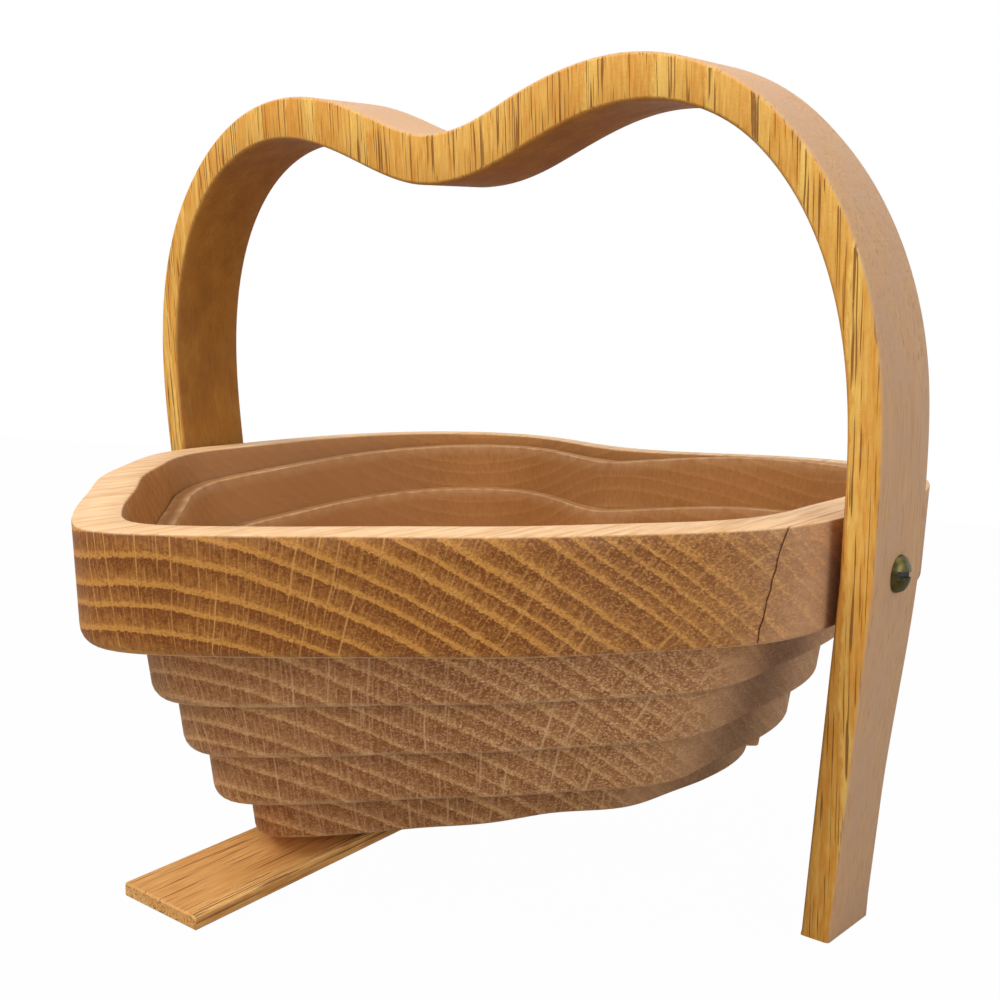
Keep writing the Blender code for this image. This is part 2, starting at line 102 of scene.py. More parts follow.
# Slopes of the curve through reachShares, by Gauss-Seidel on the spline's own equations
def reachSlopes():
    angles, shares = board["reachAngles"], board["reachShares"]
    slopes = [0.0] * len(angles)
    for _ in range(60):
        for n in range(1, len(angles) - 1):
            before, after = 1 / (angles[n] - angles[n - 1]), 1 / (angles[n + 1] - angles[n])
            pull = 3 * ((shares[n] - shares[n - 1]) * before**2 + (shares[n + 1] - shares[n]) * after**2)
            slopes[n] = (pull - slopes[n - 1] * before - slopes[n + 1] * after) / (2 * (before + after))
    return slopes


board["reachSlopes"] = reachSlopes()


def heartPoint(angle, inset=0.0):
    fold = abs((angle + pi) % fullTurn - pi)
    angles, shares, slopes = board["reachAngles"], board["reachShares"], board["reachSlopes"]
    n = max(i for i in range(len(angles) - 1) if angles[i] <= fold)
    step = angles[n + 1] - angles[n]
    t = (fold - angles[n]) / step
    share = mix(shares[n], shares[n + 1], smoothStep(t))
    share += step * t * (1 - t) * ((1 - t) * slopes[n] - t * slopes[n + 1])
    out = Vector((board["halfWidth"] * share * sin(angle), -board["halfLength"] * share * cos(angle)))
    away = abs(angle % fullTurn - board["lobeBearing"])
    trim = board["lobeTrim"] * (1 - smoothStep(away / board["lobeReach"]))
    return heartCentre + out * (1 - (inset + trim) / out.length)


def heartNormal(angle):
    along = heartPoint(angle + 0.002) - heartPoint(angle - 0.002)
    return Vector((along.y, -along.x)).normalized()


spiral = {
    "turns": 3,
    "rimWidth": 14.2 * mm,
    "pitch": 7.6 * mm,
    "rimLean": 0.9 * mm,
    "edgeRound": 1.2 * mm,
    "tipRound": 4.5 * mm,
    "tipRoundBearing": radians(-30),
    "tipRoundReach": radians(55),
    "start": radians(125),
    "topEase": 0.45 * mm,           # sanded upper edges
    "baseExtra": 3.4 * mm,
    "baseTrim": 5.0 * mm,
    "baseTrimBearing": radians(66),
    "baseTrimReach": radians(36),
    "neck": radians(52),
    "neckFall": radians(44),
    "baseRound": 0.8 * mm,
    "slopeRuns": [radians(a) for a in (0, 55, 175, 233)],
    "slopeShares": (-0.3, 0.28, 0.62, 1.5),
    "slopeCentre": 0.45,
    "step": radians(1.25),          # between two cross-sections
    "wallRows": 7,
    "footSteps": 6,
    "cornerSteps": 3,
    "easedShare": 0.3,
}
seam = board["seatGap"] / 2 / board["halfWidth"]      # half the gap between two bodies, as an angle
sharpAngle = radians(38)
weldDistance = 0.001 * mm
bevel = (board["kerf"] - board["seatGap"]) / drops[0]
taper = board["thickness"] * bevel


def cutInset(loop, run):
    return spiral["rimWidth"] + spiral["pitch"] * (loop - 1 + run / fullTurn)


def cutPlace(run, inset):
    return heartPoint(spiral["start"] + run, inset)


def bearingOff(run, bearing):
    return abs((spiral["start"] + run - bearing + pi) % fullTurn - pi)


# Between two stations a turn sinks along one straight way: its gradient there
def slopeWay(n):
    ends = [cutPlace(spiral["slopeRuns"][i], 0.0) - heartCentre for i in (n, n + 1)]
    rises = [spiral["slopeShares"][i] - spiral["slopeCentre"] for i in (n, n + 1)]
    area = ends[0].cross(ends[1])
    way = (ends[1].y * rises[0] - ends[0].y * rises[1], ends[0].x * rises[1] - ends[1].x * rises[0])
    return Vector(way) / area


slopeWays = [slopeWay(n) for n in range(len(spiral["slopeRuns"]) - 1)]


def slopeShare(run, point):
    for n, way in enumerate(slopeWays):
        if run <= spiral["slopeRuns"][n + 1]:
            return smoothStep(spiral["slopeCentre"] + way.dot(point - heartCentre))
    return 1.0


def lowerRound(run):
    fade = smoothStep(bearingOff(run, spiral["tipRoundBearing"]) / spiral["tipRoundReach"])
    return mix(spiral["tipRound"], spiral["edgeRound"], fade)


# The band's cross-section for the tree below. Each point's inset is a sum of shares of (outer edge, inner
# edge, foot lean) and (wall taper, foot round, top ease), its height one of (half board, foot round, top
# ease), and its finish is (wear and painted highlight, inside, 0). The first lightens the eased edges and
# the foot's round: wear, and a painted highlight along the lower edge
def bandProfile(topInside):
    rows, steps, eased = spiral["wallRows"], spiral["footSteps"], spiral["easedShare"]
    points = [
        ((1, 0, 0), (0, 0, 1), (1, 0, 0), (0.5, topInside, 0)),
        ((1, 0, 0), (0, 0, eased), (1, 0, -eased), (0.7, topInside / 2, 0)),
        ((1, 0, 0), (0, 0, 0), (1, 0, -1), (0.3, 0, 0)),
    ]
    for row in range(1, rows):
        share = row / rows
        points.append(((1, 0, share), (0, 0, 0), (1 - 2 * share, share, share - 1), (0, 0, 0)))
    for step in range(steps + 1):
        swing = pi / 2 * step / steps
        points.append(((1, 0, 1), (0, 1 - cos(swing), 0), (-1, 1 - sin(swing), 0), (step / steps, 0, 0)))
    points += [
        ((0.5, 0.5, 0.5), (0.5, 0.5, 0), (-1, 0, 0), (0.2, 0, 0)),
        ((0, 1, 0), (1, 0, -1), (-1, 0, 0), (0.4, 0, 0)),
        ((0, 1, 0), (1, 0, 0), (-1, 0, 1), (0.4, 1, 0)),
    ]
    for row in range(1, rows):
        share = row / rows
        points.append(((0, 1, 0), (1 - share, 0, 0), (2 * share - 1, 0, 1 - 2 * share), (0, 1, 0)))
    points += [
        ((0, 1, 0), (0, 0, 0), (1, 0, -1), (0.3, 1, 0)),
        ((0, 1, 0), (0, 0, -eased), (1, 0, -eased), (0.7, topInside, 0)),
        ((0, 1, 0), (0, 0, -1), (1, 0, 0), (0.5, topInside, 0)),
        ((0.5, 0.5, 0), (0, 0, 0), (1, 0, 0), (0, topInside, 0)),
    ]
    return points


# Meshes

def linkNew(name, data):
    piece = bpy.data.objects.new(name, data)
    bpy.context.scene.collection.objects.link(piece)
    return piece


def setAttribute(mesh, name, values):
    if isinstance(values[0], (int, float)):
        kind, key, flat = "FLOAT", "value", [float(value) for value in values]
    else:
        kind, key, flat = "FLOAT_VECTOR", "vector", [float(part) for value in values for part in value]
    mesh.attributes.new(name, kind, "POINT").data.foreach_set(key, flat)


# Loose points that carry the numbers a tree reads
def pointMesh(name, places, **attributes):
    mesh = bpy.data.meshes.new(name)
    mesh.from_pydata([tuple(place) for place in places], [], [])
    for key, values in attributes.items():
        setAttribute(mesh, key, values)
    return linkNew(name, mesh)


# Faces out, smooth, with the sharp edges kept
def finishMesh(piece):
    solid = bmesh.new()
    solid.from_mesh(piece.data)
    bmesh.ops.recalc_face_normals(solid, faces=solid.faces)
    solid.to_mesh(piece.data)
    solid.free()
    piece.data.shade_smooth()
    piece.data.set_sharp_from_angle(angle=sharpAngle)
    return piece


# A piece in its place, with the attributes that its wood reads. Each look is (wear and painted
# highlight, inside, end grain)
def makeMesh(name, places, faces, spots, looks, material):
    mesh = bpy.data.meshes.new(name)
    mesh.from_pydata([tuple(place) for place in places], [], faces)
    setAttribute(mesh, "boardSpot", spots)
    for kind, values in zip(("edgeWear", "inside", "endGrain"), zip(*looks)):
        setAttribute(mesh, kind, values)
    mesh.materials.append(material)
    return finishMesh(linkNew(name, mesh))


# Faces between rings of points: the plate's rings close and its profile is open, the handle's the other way
def wallFaces(rings, size, closed):
    faces = []
    for n in range(rings if closed else rings - 1):
        here, there = n * size, (n + 1) % rings * size
        for i in range(size - 1 if closed else size):
            j = (i + 1) % size
            faces.append((here + i, here + j, there + j, there + i))
    return faces


# Nodes. Each helper works in the tree of the sockets that it is given

def isSocket(value):
    return isinstance(value, bpy.types.NodeSocket)


def treeOf(*values):
    return next(value.id_data for value in values if isSocket(value))


def feed(source, target):
    target.id_data.links.new(source, target)


def setInput(socket, value):
    if isSocket(value):
        feed(value, socket)
    elif value is not None:
        socket.default_value = (*value, 1.0) if socket.type == "RGBA" else value


def addNode(tree, kind, **settings):
    node = tree.nodes.new(kind)
    for key, value in settings.items():
        setattr(node, key, value)
    return node


# Sets a node's inputs by name, an underscore for a space
def plug(node, **given):
    for key, value in given.items():
        name = key.replace("_", " ").strip()
        setInput([socket for socket in node.inputs if socket.name == name and socket.enabled][0], value)


# A node of the tree's own kind: names with a small letter are its settings, the others its inputs. It gives
# back one output, the first where none is named
def grow(tree, kind, output="", **given):
    settings = {key: value for key, value in given.items() if key[0].islower()}
    node = addNode(tree, tree.bl_idname.replace("Tree", kind), **settings)
    plug(node, **{key: value for key, value in given.items() if key not in settings})
    return [socket for socket in node.outputs if socket.enabled and output in ("", socket.name)][0]


# A node whose inputs are given in their order
def wired(kind, *values, **settings):
    node = addNode(treeOf(*values), "ShaderNode" + kind, **settings)
    for socket, value in zip(node.inputs, values):
        setInput(socket, value)
    return node.outputs[0]


def maths(operation, *values, clamp=False):
    return wired("Math", *values, operation=operation, use_clamp=clamp)


def plus(a, b, **settings):
    return maths("ADD", a, b, **settings)


def minus(a, b, **settings):
    return maths("SUBTRACT", a, b, **settings)


def times(a, b, **settings):
    return maths("MULTIPLY", a, b, **settings)


def over(a, b):
    return maths("DIVIDE", a, b)


def vectors(operation, *values):
    result = wired("VectorMath", *values, operation=operation).node.outputs
    return result[1 if operation in ("DOT_PRODUCT", "LENGTH") else 0]


def dot(a, b):
    return vectors("DOT_PRODUCT", a, b)


def joined(x, y, z):
    return wired("CombineXYZ", x, y, z)


def apart(vector):
    return wired("SeparateXYZ", vector).node.outputs


def mapRange(value, low, high, outLow=0.0, outHigh=1.0, smooth=False):
    law = "SMOOTHSTEP" if smooth else "LINEAR"
    return wired("MapRange", value, low, high, outLow, outHigh, interpolation_type=law)


# A tree of its own and its named inputs, each given by a starting value or by its kind of socket
def newTree(name, kind, inputs, outputs):
    tree = bpy.data.node_groups.new(name, kind + "NodeTree")
    kinds = {bool: "Bool", float: "Float", tuple: "Vector"}
    for label, value in inputs.items():
        isKind = isinstance(value, str)
        socketKind = "NodeSocket" + (value if isKind else kinds[type(value)])
        made = tree.interface.new_socket(label, in_out="INPUT", socket_type=socketKind)
        if not isKind:
            made.default_value = value
    for label, value in outputs.items():
        tree.interface.new_socket(label, in_out="OUTPUT", socket_type="NodeSocket" + value)
    given = {socket.name: socket for socket in addNode(tree, "NodeGroupInput").outputs}
    return tree, given, addNode(tree, "NodeGroupOutput").inputs


def joinAll(tree, *parts):
    node = addNode(tree, "GeometryNodeJoinGeometry")
    for part in parts:
        feed(part, node.inputs[0])
    return node.outputs[0]


# Named values of one point, or its position where the name is empty
def readFrom(tree, geometry, index, kind, *names):
    found = []
    for name in names:
        if name:
            value = grow(tree, "InputNamedAttribute", data_type=kind, Name=name)
        else:
            value = grow(tree, "InputPosition")
        how = {"data_type": kind, "domain": "POINT", "clamp": True}
        found.append(grow(tree, "SampleIndex", Geometry=geometry, Value=value, Index=index, **how))
    return found


# Keeps a value under its name, for the materials
def store(tree, geometry, name, value, kind="FLOAT", domain="POINT"):
    how = {"data_type": kind, "domain": domain}
    return grow(tree, "StoreNamedAttribute", Geometry=geometry, Name=name, Value=value, **how)


# Moves a mesh's points onto the band: each to its station's row and its profile's column
def layBand(tree, given, profile, geometry, row, column):
    station, corner = (tree, given["Geometry"], row), (tree, profile, column)
    outline, insets, slopeWay = readFrom(*station, "FLOAT_VECTOR", "", "insets", "slopeWay")
    footRound, slopeFrom, endGrain = readFrom(*station, "FLOAT", "footRound", "slopeFrom", "endGrain")
    edges, walls, heights, finish = readFrom(*corner, "FLOAT_VECTOR", "edges", "walls", "heights", "finish")
    ease = given["Top ease"]
    inset = plus(dot(edges, insets), dot(walls, joined(given["Wall taper"], footRound, ease)))
    height = dot(heights, joined(over(given["Board thickness"], 2), footRound, ease))
    height = minus(height, given["Pivot raise"])
    out = vectors("SUBTRACT", outline, given["Heart centre"])
    reach = minus(vectors("LENGTH", out), inset)
    spot = vectors("SCALE", vectors("NORMALIZE", out), None, None, reach)
    sunk = mapRange(plus(dot(slopeWay, spot), slopeFrom), 0.0, 1.0, smooth=True)
    sunk = maths("MULTIPLY_ADD", sunk, given["Drop"], given["Level"])
    spot = vectors("ADD", spot, given["Heart centre"])
    boardSpot = vectors("ADD", spot, joined(0.0, 0.0, height))
    place = vectors("SUBTRACT", boardSpot, joined(0.0, 0.0, sunk))
    # the first share lightens the edges: wear, and a painted highlight
    wearAndHighlight, inside, _ = apart(finish)
    geometry = store(tree, geometry, "boardSpot", boardSpot, "FLOAT_VECTOR")
    for name, value in (("edgeWear", wearAndHighlight), ("inside", inside), ("endGrain", endGrain)):
        geometry = store(tree, geometry, name, value)
    return grow(tree, "SetPosition", Geometry=geometry, Position=place)


# The end of a tree: plain geometry in its material
def endTree(tree, given, result, geometry):
    real = grow(tree, "RealizeInstances", Geometry=geometry)
    feed(grow(tree, "SetMaterial", Geometry=real, Material=given["Material"]), result[0])
    return tree


# Sweeps a profile along stations of the heart's outline: rim, spiral turns and the base's neck
def bandTree():
    tree, given, result = newTree("bandSweep", "Geometry", {
        "Geometry": "Geometry", "Profile": "Object", "Closed": False,
        "Board thickness": board["thickness"], "Pivot raise": board["pivotRaise"],
        "Heart centre": (*heartCentre, 0.0), "Wall taper": taper, "Top ease": spiral["topEase"],
        "Level": 0.0, "Drop": 0.0, "Material": "Material",
    }, {"Geometry": "Geometry"})
    profile = grow(tree, "ObjectInfo", "Geometry", transform_space="ORIGINAL", Object=given["Profile"])
    rows = grow(tree, "AttributeDomainSize", Geometry=given["Geometry"])
    columns = grow(tree, "AttributeDomainSize", Geometry=profile)
    index = grow(tree, "InputIndex")
    around = plus(columns, 1)
    grid = grow(tree, "MeshGrid", Vertices_X=plus(rows, given["Closed"]), Vertices_Y=around)
    row = maths("MODULO", maths("FLOOR", over(index, around)), rows)
    column = maths("MODULO", maths("MODULO", index, around), columns)
    skin = layBand(tree, given, profile, grid, row, column)
    ends = []
    for endRow in (0, minus(rows, 1)):
        disc = grow(tree, "MeshCircle", fill_type="NGON", Vertices=columns)
        ends.append(layBand(tree, given, profile, disc, endRow, index))
    ends = joinAll(tree, *ends)
    caps = grow(tree, "Switch", input_type="GEOMETRY", Switch=given["Closed"], False_=ends)
    whole = joinAll(tree, caps, skin)
    return endTree(tree, given, result, grow(tree, "MergeByDistance", Geometry=whole, Distance=weldDistance))


# Sets the modifier's inputs by identifier and turns its result into a plain mesh
def runTree(piece, tree, values):
    grown = piece.modifiers.new(tree.name, "NODES")
    grown.node_group = tree
    for item in tree.interface.items_tree:
        if item.in_out == "INPUT" and item.name in values:
            grown[item.identifier] = values[item.name]
    shape = bpy.data.meshes.new_from_object(piece.evaluated_get(bpy.context.evaluated_depsgraph_get()))
    piece.modifiers.remove(grown)
    shape.name = piece.name
    shape.materials.clear()
    shape.materials.append(values["Material"])
    shape.polygons.foreach_set("material_index", [0] * len(shape.polygons))
    piece.data = shape
    return finishMesh(piece)


bandSweep = bandTree()


def runsBetween(first, last, step=spiral["step"]):
    count = max(2, round((last - first) / step))
    return [mix(first, last, n / count) for n in range(count + 1)]


# Stations along the cut carry their sizes, and the tree sweeps the profile along them
def sweepBand(name, runs, edgesAt, slopeAt, material, level=0.0, drop=0.0, closed=False):
    outline = [(*cutPlace(run, 0.0), 0.0) for run in runs]
    kept = {"insets": [], "footRound": [], "slopeWay": [], "slopeFrom": [], "endGrain": []}
    for run in runs:
        outer, inner, footRound, lean = edgesAt(run)
        way, offset = slopeAt(run)
        insets = (outer, inner, lean * (1 - footRound / board["thickness"]))
        across = abs(heartNormal(spiral["start"] + run).y)
        for values, value in zip(kept.values(), (insets, footRound, (*way, 0.0), offset, across)):
            values.append(value)
    stations = pointMesh(name, outline, **kept)
    points = bandProfile(0.0 if closed else 1.0)
    columns = dict(zip(("edges", "walls", "heights", "finish"), zip(*points)))
    profile = pointMesh("profile", [(0, 0, 0)] * len(points), **columns)
    piece = runTree(stations, bandSweep, {
        "Profile": profile, "Closed": closed, "Level": level, "Drop": drop, "Material": material,
    })
    bpy.data.objects.remove(profile)
    piece.data.transform(rimFrame)
    return piece


def bendAlong(piece):
    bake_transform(piece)


# Materials

def blendColour(factor, a, b):
    node = addNode(treeOf(factor, a, b), "ShaderNodeMix", data_type="RGBA", clamp_factor=True)
    for index, value in ((0, factor), (6, a), (7, b)):
        setInput(node.inputs[index], value)
    return node.outputs[2]


def attributeOf(tree, name, output="Fac"):
    return grow(tree, "Attribute", output, attribute_name=name)


def newMaterial(name, colour):
    material = bpy.data.materials.new(name)
    material.use_nodes = True
    material.diffuse_color = (*colour, 1.0)
    return material, material.node_tree, material.node_tree.nodes["Principled BSDF"]


# Screen colour 0..255 to the renderer's linear values
def linear(red, green, blue):
    def one(value):
        value /= 255
        return value / 12.92 if value <= 0.04045 else ((value + 0.055) / 1.055) ** 2.4
    return one(red), one(green), one(blue)


# Waves per metre, shares of them along the board's X, Y and Z, shift, detail and roughness
noises = {
    "warp": (30.0, (1.0, 0.6, 1.0), (0, 0, 0), 2.0, 0.5),
    "fuzz": (1500.0, (1.0, 0.25, 1.0), (0, 0, 0), 2.0, 0.6),
    "pores": (2100.0, (1.0, 0.022, 1.0), (0, 0, 0), 1.0, 0.5),
    "fibre": (1100.0, (1.0, 0.05, 1.0), (3, 7, 1), 3.0, 0.7),
    "patches": (38.0, (1.0, 0.3, 1.0), (5, 2, 8), 2.0, 0.5),
    "specks": (2300.0, (1.0, 0.35, 1.0), (9, 4, 6), 1.0, 0.5),
    "mottle": (150.0, (1.0, 0.5, 1.0), (0, 0, 0), 3.0, 0.6),
    "planed": (700.0, (1.0, 0.06, 1.0), (2, 2, 2), 3.0, 0.65),
    "wearAndHighlightMask": (260.0, (1.0, 1.0, 1.0), (0, 0, 0), 2.0, 0.5),
    "sawn": (1500.0, (1.0, 1.0, 0.03), (0, 0, 0), 1.0, 0.5),
    # the mottle of the crack's painted shade
    "crackShadeMottle": (900.0, (1.0, 1.0, 1.0), (0, 0, 0), 3.0, 0.6),
    "tarnish": (420.0, (1.0, 1.0, 1.0), (0, 0, 0), 3.0, 0.6),
}


def noise(name, spot, output=""):
    scale, shares, shift, detail, roughness = noises[name]
    place = grow(treeOf(spot), "Mapping", Vector=spot, Scale=shares, Location=shift)
    sizes = {"Scale": scale, "Detail": detail, "Roughness": roughness}
    return grow(treeOf(spot), "TexNoise", output, Vector=place, **sizes)


# The tree's middle, from the board's
pith = {"x": 15 * mm, "z": -135 * mm, "front": -118 * mm, "bend": 30 * mm}

# The light lines across the rings: bold ones some millimetres apart, and fine short ones everywhere
boldRays = {"spacing": 2.7 * mm, "width": 0.2 * mm, "length": 20 * mm, "fibreLength": 12 * mm, "share": 0.5}
fineRays = {"spacing": 0.8 * mm, "width": 0.15 * mm, "length": 6 * mm, "fibreLength": 5 * mm, "share": 0.7}
hatchSize = {"spacing": 0.42 * mm, "length": 2.6 * mm, "fibreLength": 5 * mm}
rayShape = {
    "asideShares": (0.2, 0.8),      # where a line lies in its lane
    "lengthShift": 13.7, "fibreShift": 7.3,
    "tipShare": 0.16, "tipWidthShare": 0.2, "fullWidthShare": 1.15, "softShare": 0.4,
}

rings = {
    "wander": 4 * mm,               # how far the warp noise shifts them
    "yearScale": 70.0,
    "yearSpread": 5.5 * mm,         # good years and bad years
    "fuzz": 0.3,
    "earlyFrom": 0.07, "earlyTo": 0.1, "lateFrom": 0.36, "lateTo": 0.97,      # parts of one ring
}
grainShares = {
    "poresInLate": 0.6, "poresInEarly": 0.55, "poreEdge": 0.06,     # a pore is where its noise is above these
    "speckFrom": 0.5, "speckTo": 0.66, "specksInLate": 0.4, "fineRays": 0.5,
    "late": -0.45, "middle": 0.33, "patches": 0.6, "hatch": 0.9,    # of the tone between late and early wood
}
oakDefaults = {
    "Ring width": 4.9 * mm, "Dip": 0.0, "Ring contrast": 1.0, "Pore amount": 0.5, "Ray amount": 0.8,
    "Speck amount": 0.3, "Streak amount": 0.7,
}


# Thin lines from the pith outwards: one lane each, broken into lengths of which a share shows
def rayLines(bearing, radius, along, ray):
    tree = treeOf(bearing)
    lanes = times(bearing, -pith["z"] / ray["spacing"])
    lane = maths("FLOOR", lanes)
    luck = grow(tree, "TexWhiteNoise", noise_dimensions="1D", W=lane)
    off = maths("ABSOLUTE", minus(maths("FRACT", lanes), mapRange(luck, 0, 1, *rayShape["asideShares"])))
    lengths = plus(over(radius, ray["length"]), times(luck, rayShape["lengthShift"]))
    depths = plus(over(along, ray["fibreLength"]), times(luck, rayShape["fibreShift"]))
    place = joined(lane, maths("FLOOR", lengths), maths("FLOOR", depths))
    shown = grow(tree, "TexWhiteNoise", noise_dimensions="3D", Vector=place)
    strength = mapRange(shown, 1 - ray["share"], 1.15 - ray["share"] / 2)
    half = ray["width"] / ray["spacing"] / 2
    tip, full, soft = [rayShape[name] * half for name in ("tipWidthShare", "fullWidthShare", "softShare")]
    width = mapRange(maths("PINGPONG", lengths, 0.5), 0.0, rayShape["tipShare"], tip, full)
    return times(mapRange(minus(width, off), -soft, soft), strength)


# Oak as a solid: rings round the pith, rays across them, pores along the fibre (board Y)
def oakGroup():
    woods = {name: "Color" for name in ("Late wood", "Early wood", "Pore", "Ray")}
    tree, given, result = newTree(
        "oakGrain", "Shader", {"Spot": "Vector", **woods, **oakDefaults},
        {"Color": "Color", "Roughness": "Float", "Height": "Float"})
    spot = given["Spot"]

    # Where the point lies in the tree: the rings wander a little and dip along the board
    wander = (rings["wander"], 0.0, rings["wander"])
    x, along, z = apart(vectors("MULTIPLY_ADD", noise("warp", spot, "Color"), wander, spot))
    across = minus(x, pith["x"])
    behind = maths("MAXIMUM", minus(along, pith["front"]), 0.0)
    bent = over(times(behind, behind), plus(behind, pith["bend"]))
    above = plus(minus(z, pith["z"]), times(bent, given["Dip"]))
    radius = maths("SQRT", maths("MULTIPLY_ADD", across, across, times(above, above)))
    bearing = maths("ARCTAN2", across, above)

    # Rings of uneven width, light and porous first, then darkening until the next one starts
    years = grow(tree, "TexNoise", noise_dimensions="1D", W=radius, Scale=rings["yearScale"], Detail=1.0)
    ring = over(maths("MULTIPLY_ADD", years, rings["yearSpread"], radius), given["Ring width"])
    ring = maths("FRACT", maths("MULTIPLY_ADD", noise("fuzz", spot), rings["fuzz"], ring))
    opening = mapRange(ring, 0.0, rings["earlyFrom"], smooth=True)
    early = times(opening, mapRange(ring, rings["lateFrom"], rings["earlyTo"], smooth=True))
    darkening = mapRange(ring, rings["lateFrom"], rings["lateTo"])

    # Pores: dots on end grain, streaks on long grain, crowded in the early wood
    level = mapRange(early, 0.0, 1.0, grainShares["poresInLate"], grainShares["poresInEarly"])
    pores = mapRange(minus(noise("pores", spot), level), 0.0, grainShares["poreEdge"])
    pores = times(pores, given["Pore amount"], clamp=True)
    fibre, patches = noise("fibre", spot), noise("patches", spot)

    # Rays, the fine hatch between them, and light specks of filled pores
    bold, fine = [rayLines(bearing, radius, along, ray) for ray in (boldRays, fineRays)]
    rays = maths("MAXIMUM", bold, times(fine, grainShares["fineRays"]))
    rays = times(rays, given["Ray amount"], clamp=True)
    lane = times(bearing, -pith["z"] / hatchSize["spacing"])
    hatch = joined(lane, over(radius, hatchSize["length"]), over(along, hatchSize["fibreLength"]))
    hatch = grow(tree, "TexNoise", Vector=hatch, Scale=1.0, Detail=1.0)
    specks = mapRange(noise("specks", spot), grainShares["speckFrom"], grainShares["speckTo"])
    specks = times(specks, mapRange(early, 0.0, 1.0, grainShares["specksInLate"], 1.0))
    specks = times(specks, given["Speck amount"], clamp=True)

    tone = maths("MULTIPLY_ADD", darkening, grainShares["late"], early)
    tone = maths("MULTIPLY_ADD", tone, given["Ring contrast"], grainShares["middle"])
    amounts = (grainShares["patches"], given["Streak amount"], grainShares["hatch"])
    for grain, amount in zip((patches, fibre, hatch), amounts):
        tone = maths("MULTIPLY_ADD", minus(grain, 0.5), amount, tone)
    colour = blendColour(plus(tone, 0.0, clamp=True), given["Late wood"], given["Early wood"])
    for share, other in ((rays, "Ray"), (specks, "Ray"), (pores, "Pore")):
        colour = blendColour(share, colour, given[other])
    feed(colour, result["Color"])
    feed(plus(mapRange(fibre, 0.3, 0.7, 0.5, 0.64), times(pores, 0.2)), result["Roughness"])
    feed(minus(times(fibre, 0.6), pores), result["Height"])
    return tree


oak = oakGroup()


# Oak with its sawn texture. The insides of the bowl are smoother, and sawn sides paler than end grain
def oakMaterial(name, wood):
    material, tree, shader = newMaterial(name, wood["late"])
    spot, inside = attributeOf(tree, "boardSpot", "Vector"), attributeOf(tree, "inside")
    x, _, z = apart(spot)
    grain = addNode(tree, "ShaderNodeGroup", node_tree=oak)
    woods = {"Late_wood": wood["late"], "Early_wood": wood["early"], "Pore": wood["pore"], "Ray": wood["ray"]}
    plug(grain, Spot=spot, Dip=wood.get("dip", 0.0), **woods)
    for socket, amounts in wood["amounts"].items():
        amount = mapRange(inside, 0, 1, *amounts)
        if socket in wood["rightward"]:
            amount = times(amount, mapRange(x, *wood["rightward"][socket], smooth=True))
        feed(amount, grain.inputs[socket])
    mottle = noise("mottle", spot)
    side = mapRange(attributeOf(tree, "endGrain"), 0.75, 0.1, 0.0, wood["sideShare"], smooth=True)
    side = times(side, mapRange(mottle, 0.3, 0.7, 0.8, 1.1), clamp=True)
    colour = blendColour(side, grain.outputs["Color"], wood["side"])
    inner = times(inside, mapRange(mottle, 0.3, 0.7, 0.75 * wood["innerShare"], wood["innerShare"]))
    colour = blendColour(inner, colour, wood["inner"])
    if "face" in wood:
        depth = maths("ABSOLUTE", plus(z, board["pivotRaise"]))
        onFace = mapRange(depth, halfBoard - 0.5 * mm, halfBoard - 0.1 * mm)
        planed = blendColour(mapRange(noise("planed", spot), 0.42, 0.68), wood["face"], wood["faceStreak"])
        colour = blendColour(times(onFace, wood["faceShare"]), colour, planed)
    # Edges lightened towards the edge colour: wear, and a painted highlight along the lower edges
    wearAndHighlightMask = times(attributeOf(tree, "edgeWear"), mapRange(noise("wearAndHighlightMask", spot), 0.3, 0.65, 0.25, 1.0))
    colour = blendColour(times(wearAndHighlightMask, wood["edgeWearAndHighlightShare"]), colour, wood["edge"])
    height = maths("MULTIPLY_ADD", noise("sawn", spot), wood["sawing"], grain.outputs["Height"])
    bump = grow(tree, "Bump", Strength=0.4, Distance=0.3 * mm, Height=height)
    plug(shader, Base_Color=colour, Roughness=grain.outputs["Roughness"], Normal=bump, Specular_IOR_Level=0.3)
    return material


# Each pair of amounts is for the outside and for the inside of the bowl
bowlWood = {
    "late": linear(132, 70, 17), "early": linear(211, 143, 62), "pore": linear(92, 50, 16),
    "ray": linear(224, 164, 88), "dip": 0.68,
    "side": linear(204, 158, 116), "sideShare": 0.7, "inner": linear(186, 130, 71), "innerShare": 0.75,
    "face": linear(164, 108, 60), "faceStreak": linear(140, 88, 46), "faceShare": 0.5,
    # edge: the colour of worn edges and of their painted highlight
    "edge": linear(224, 172, 122), "edgeWearAndHighlightShare": 0.5, "sawing": 0.5,
    "rightward": {                  # the rim's right side shows its end grain: less ring, more speckle
        "Ring contrast": (70 * mm, 106 * mm, 1.0, 0.4), "Speck amount": (10 * mm, 106 * mm, 0.8, 3.0),
    },
    "amounts": {
        "Ring contrast": (0.95, 0.35), "Pore amount": (0.3, 0.15), "Ray amount": (0.7, 0.12),
        "Speck amount": (0.5, 0.1), "Streak amount": (0.9, 0.6),
    },
}
turnWood = dict(
    bowlWood, late=linear(150, 90, 44), early=linear(224, 166, 106), ray=linear(236, 190, 138),
    # a paler edge colour, laid on more strongly: wear and painted highlight on the turns' lower edges
    edge=linear(244, 204, 156), edgeWearAndHighlightShare=0.9,
    amounts=dict(bowlWood["amounts"], **{"Ring contrast": (0.5, 0.3), "Speck amount": (0.85, 0.1)}))
rimWood = dict(
    bowlWood, sideShare=0.65, side=linear(226, 180, 142), face=linear(252, 214, 166),
    faceStreak=linear(220, 166, 110), faceShare=0.85)
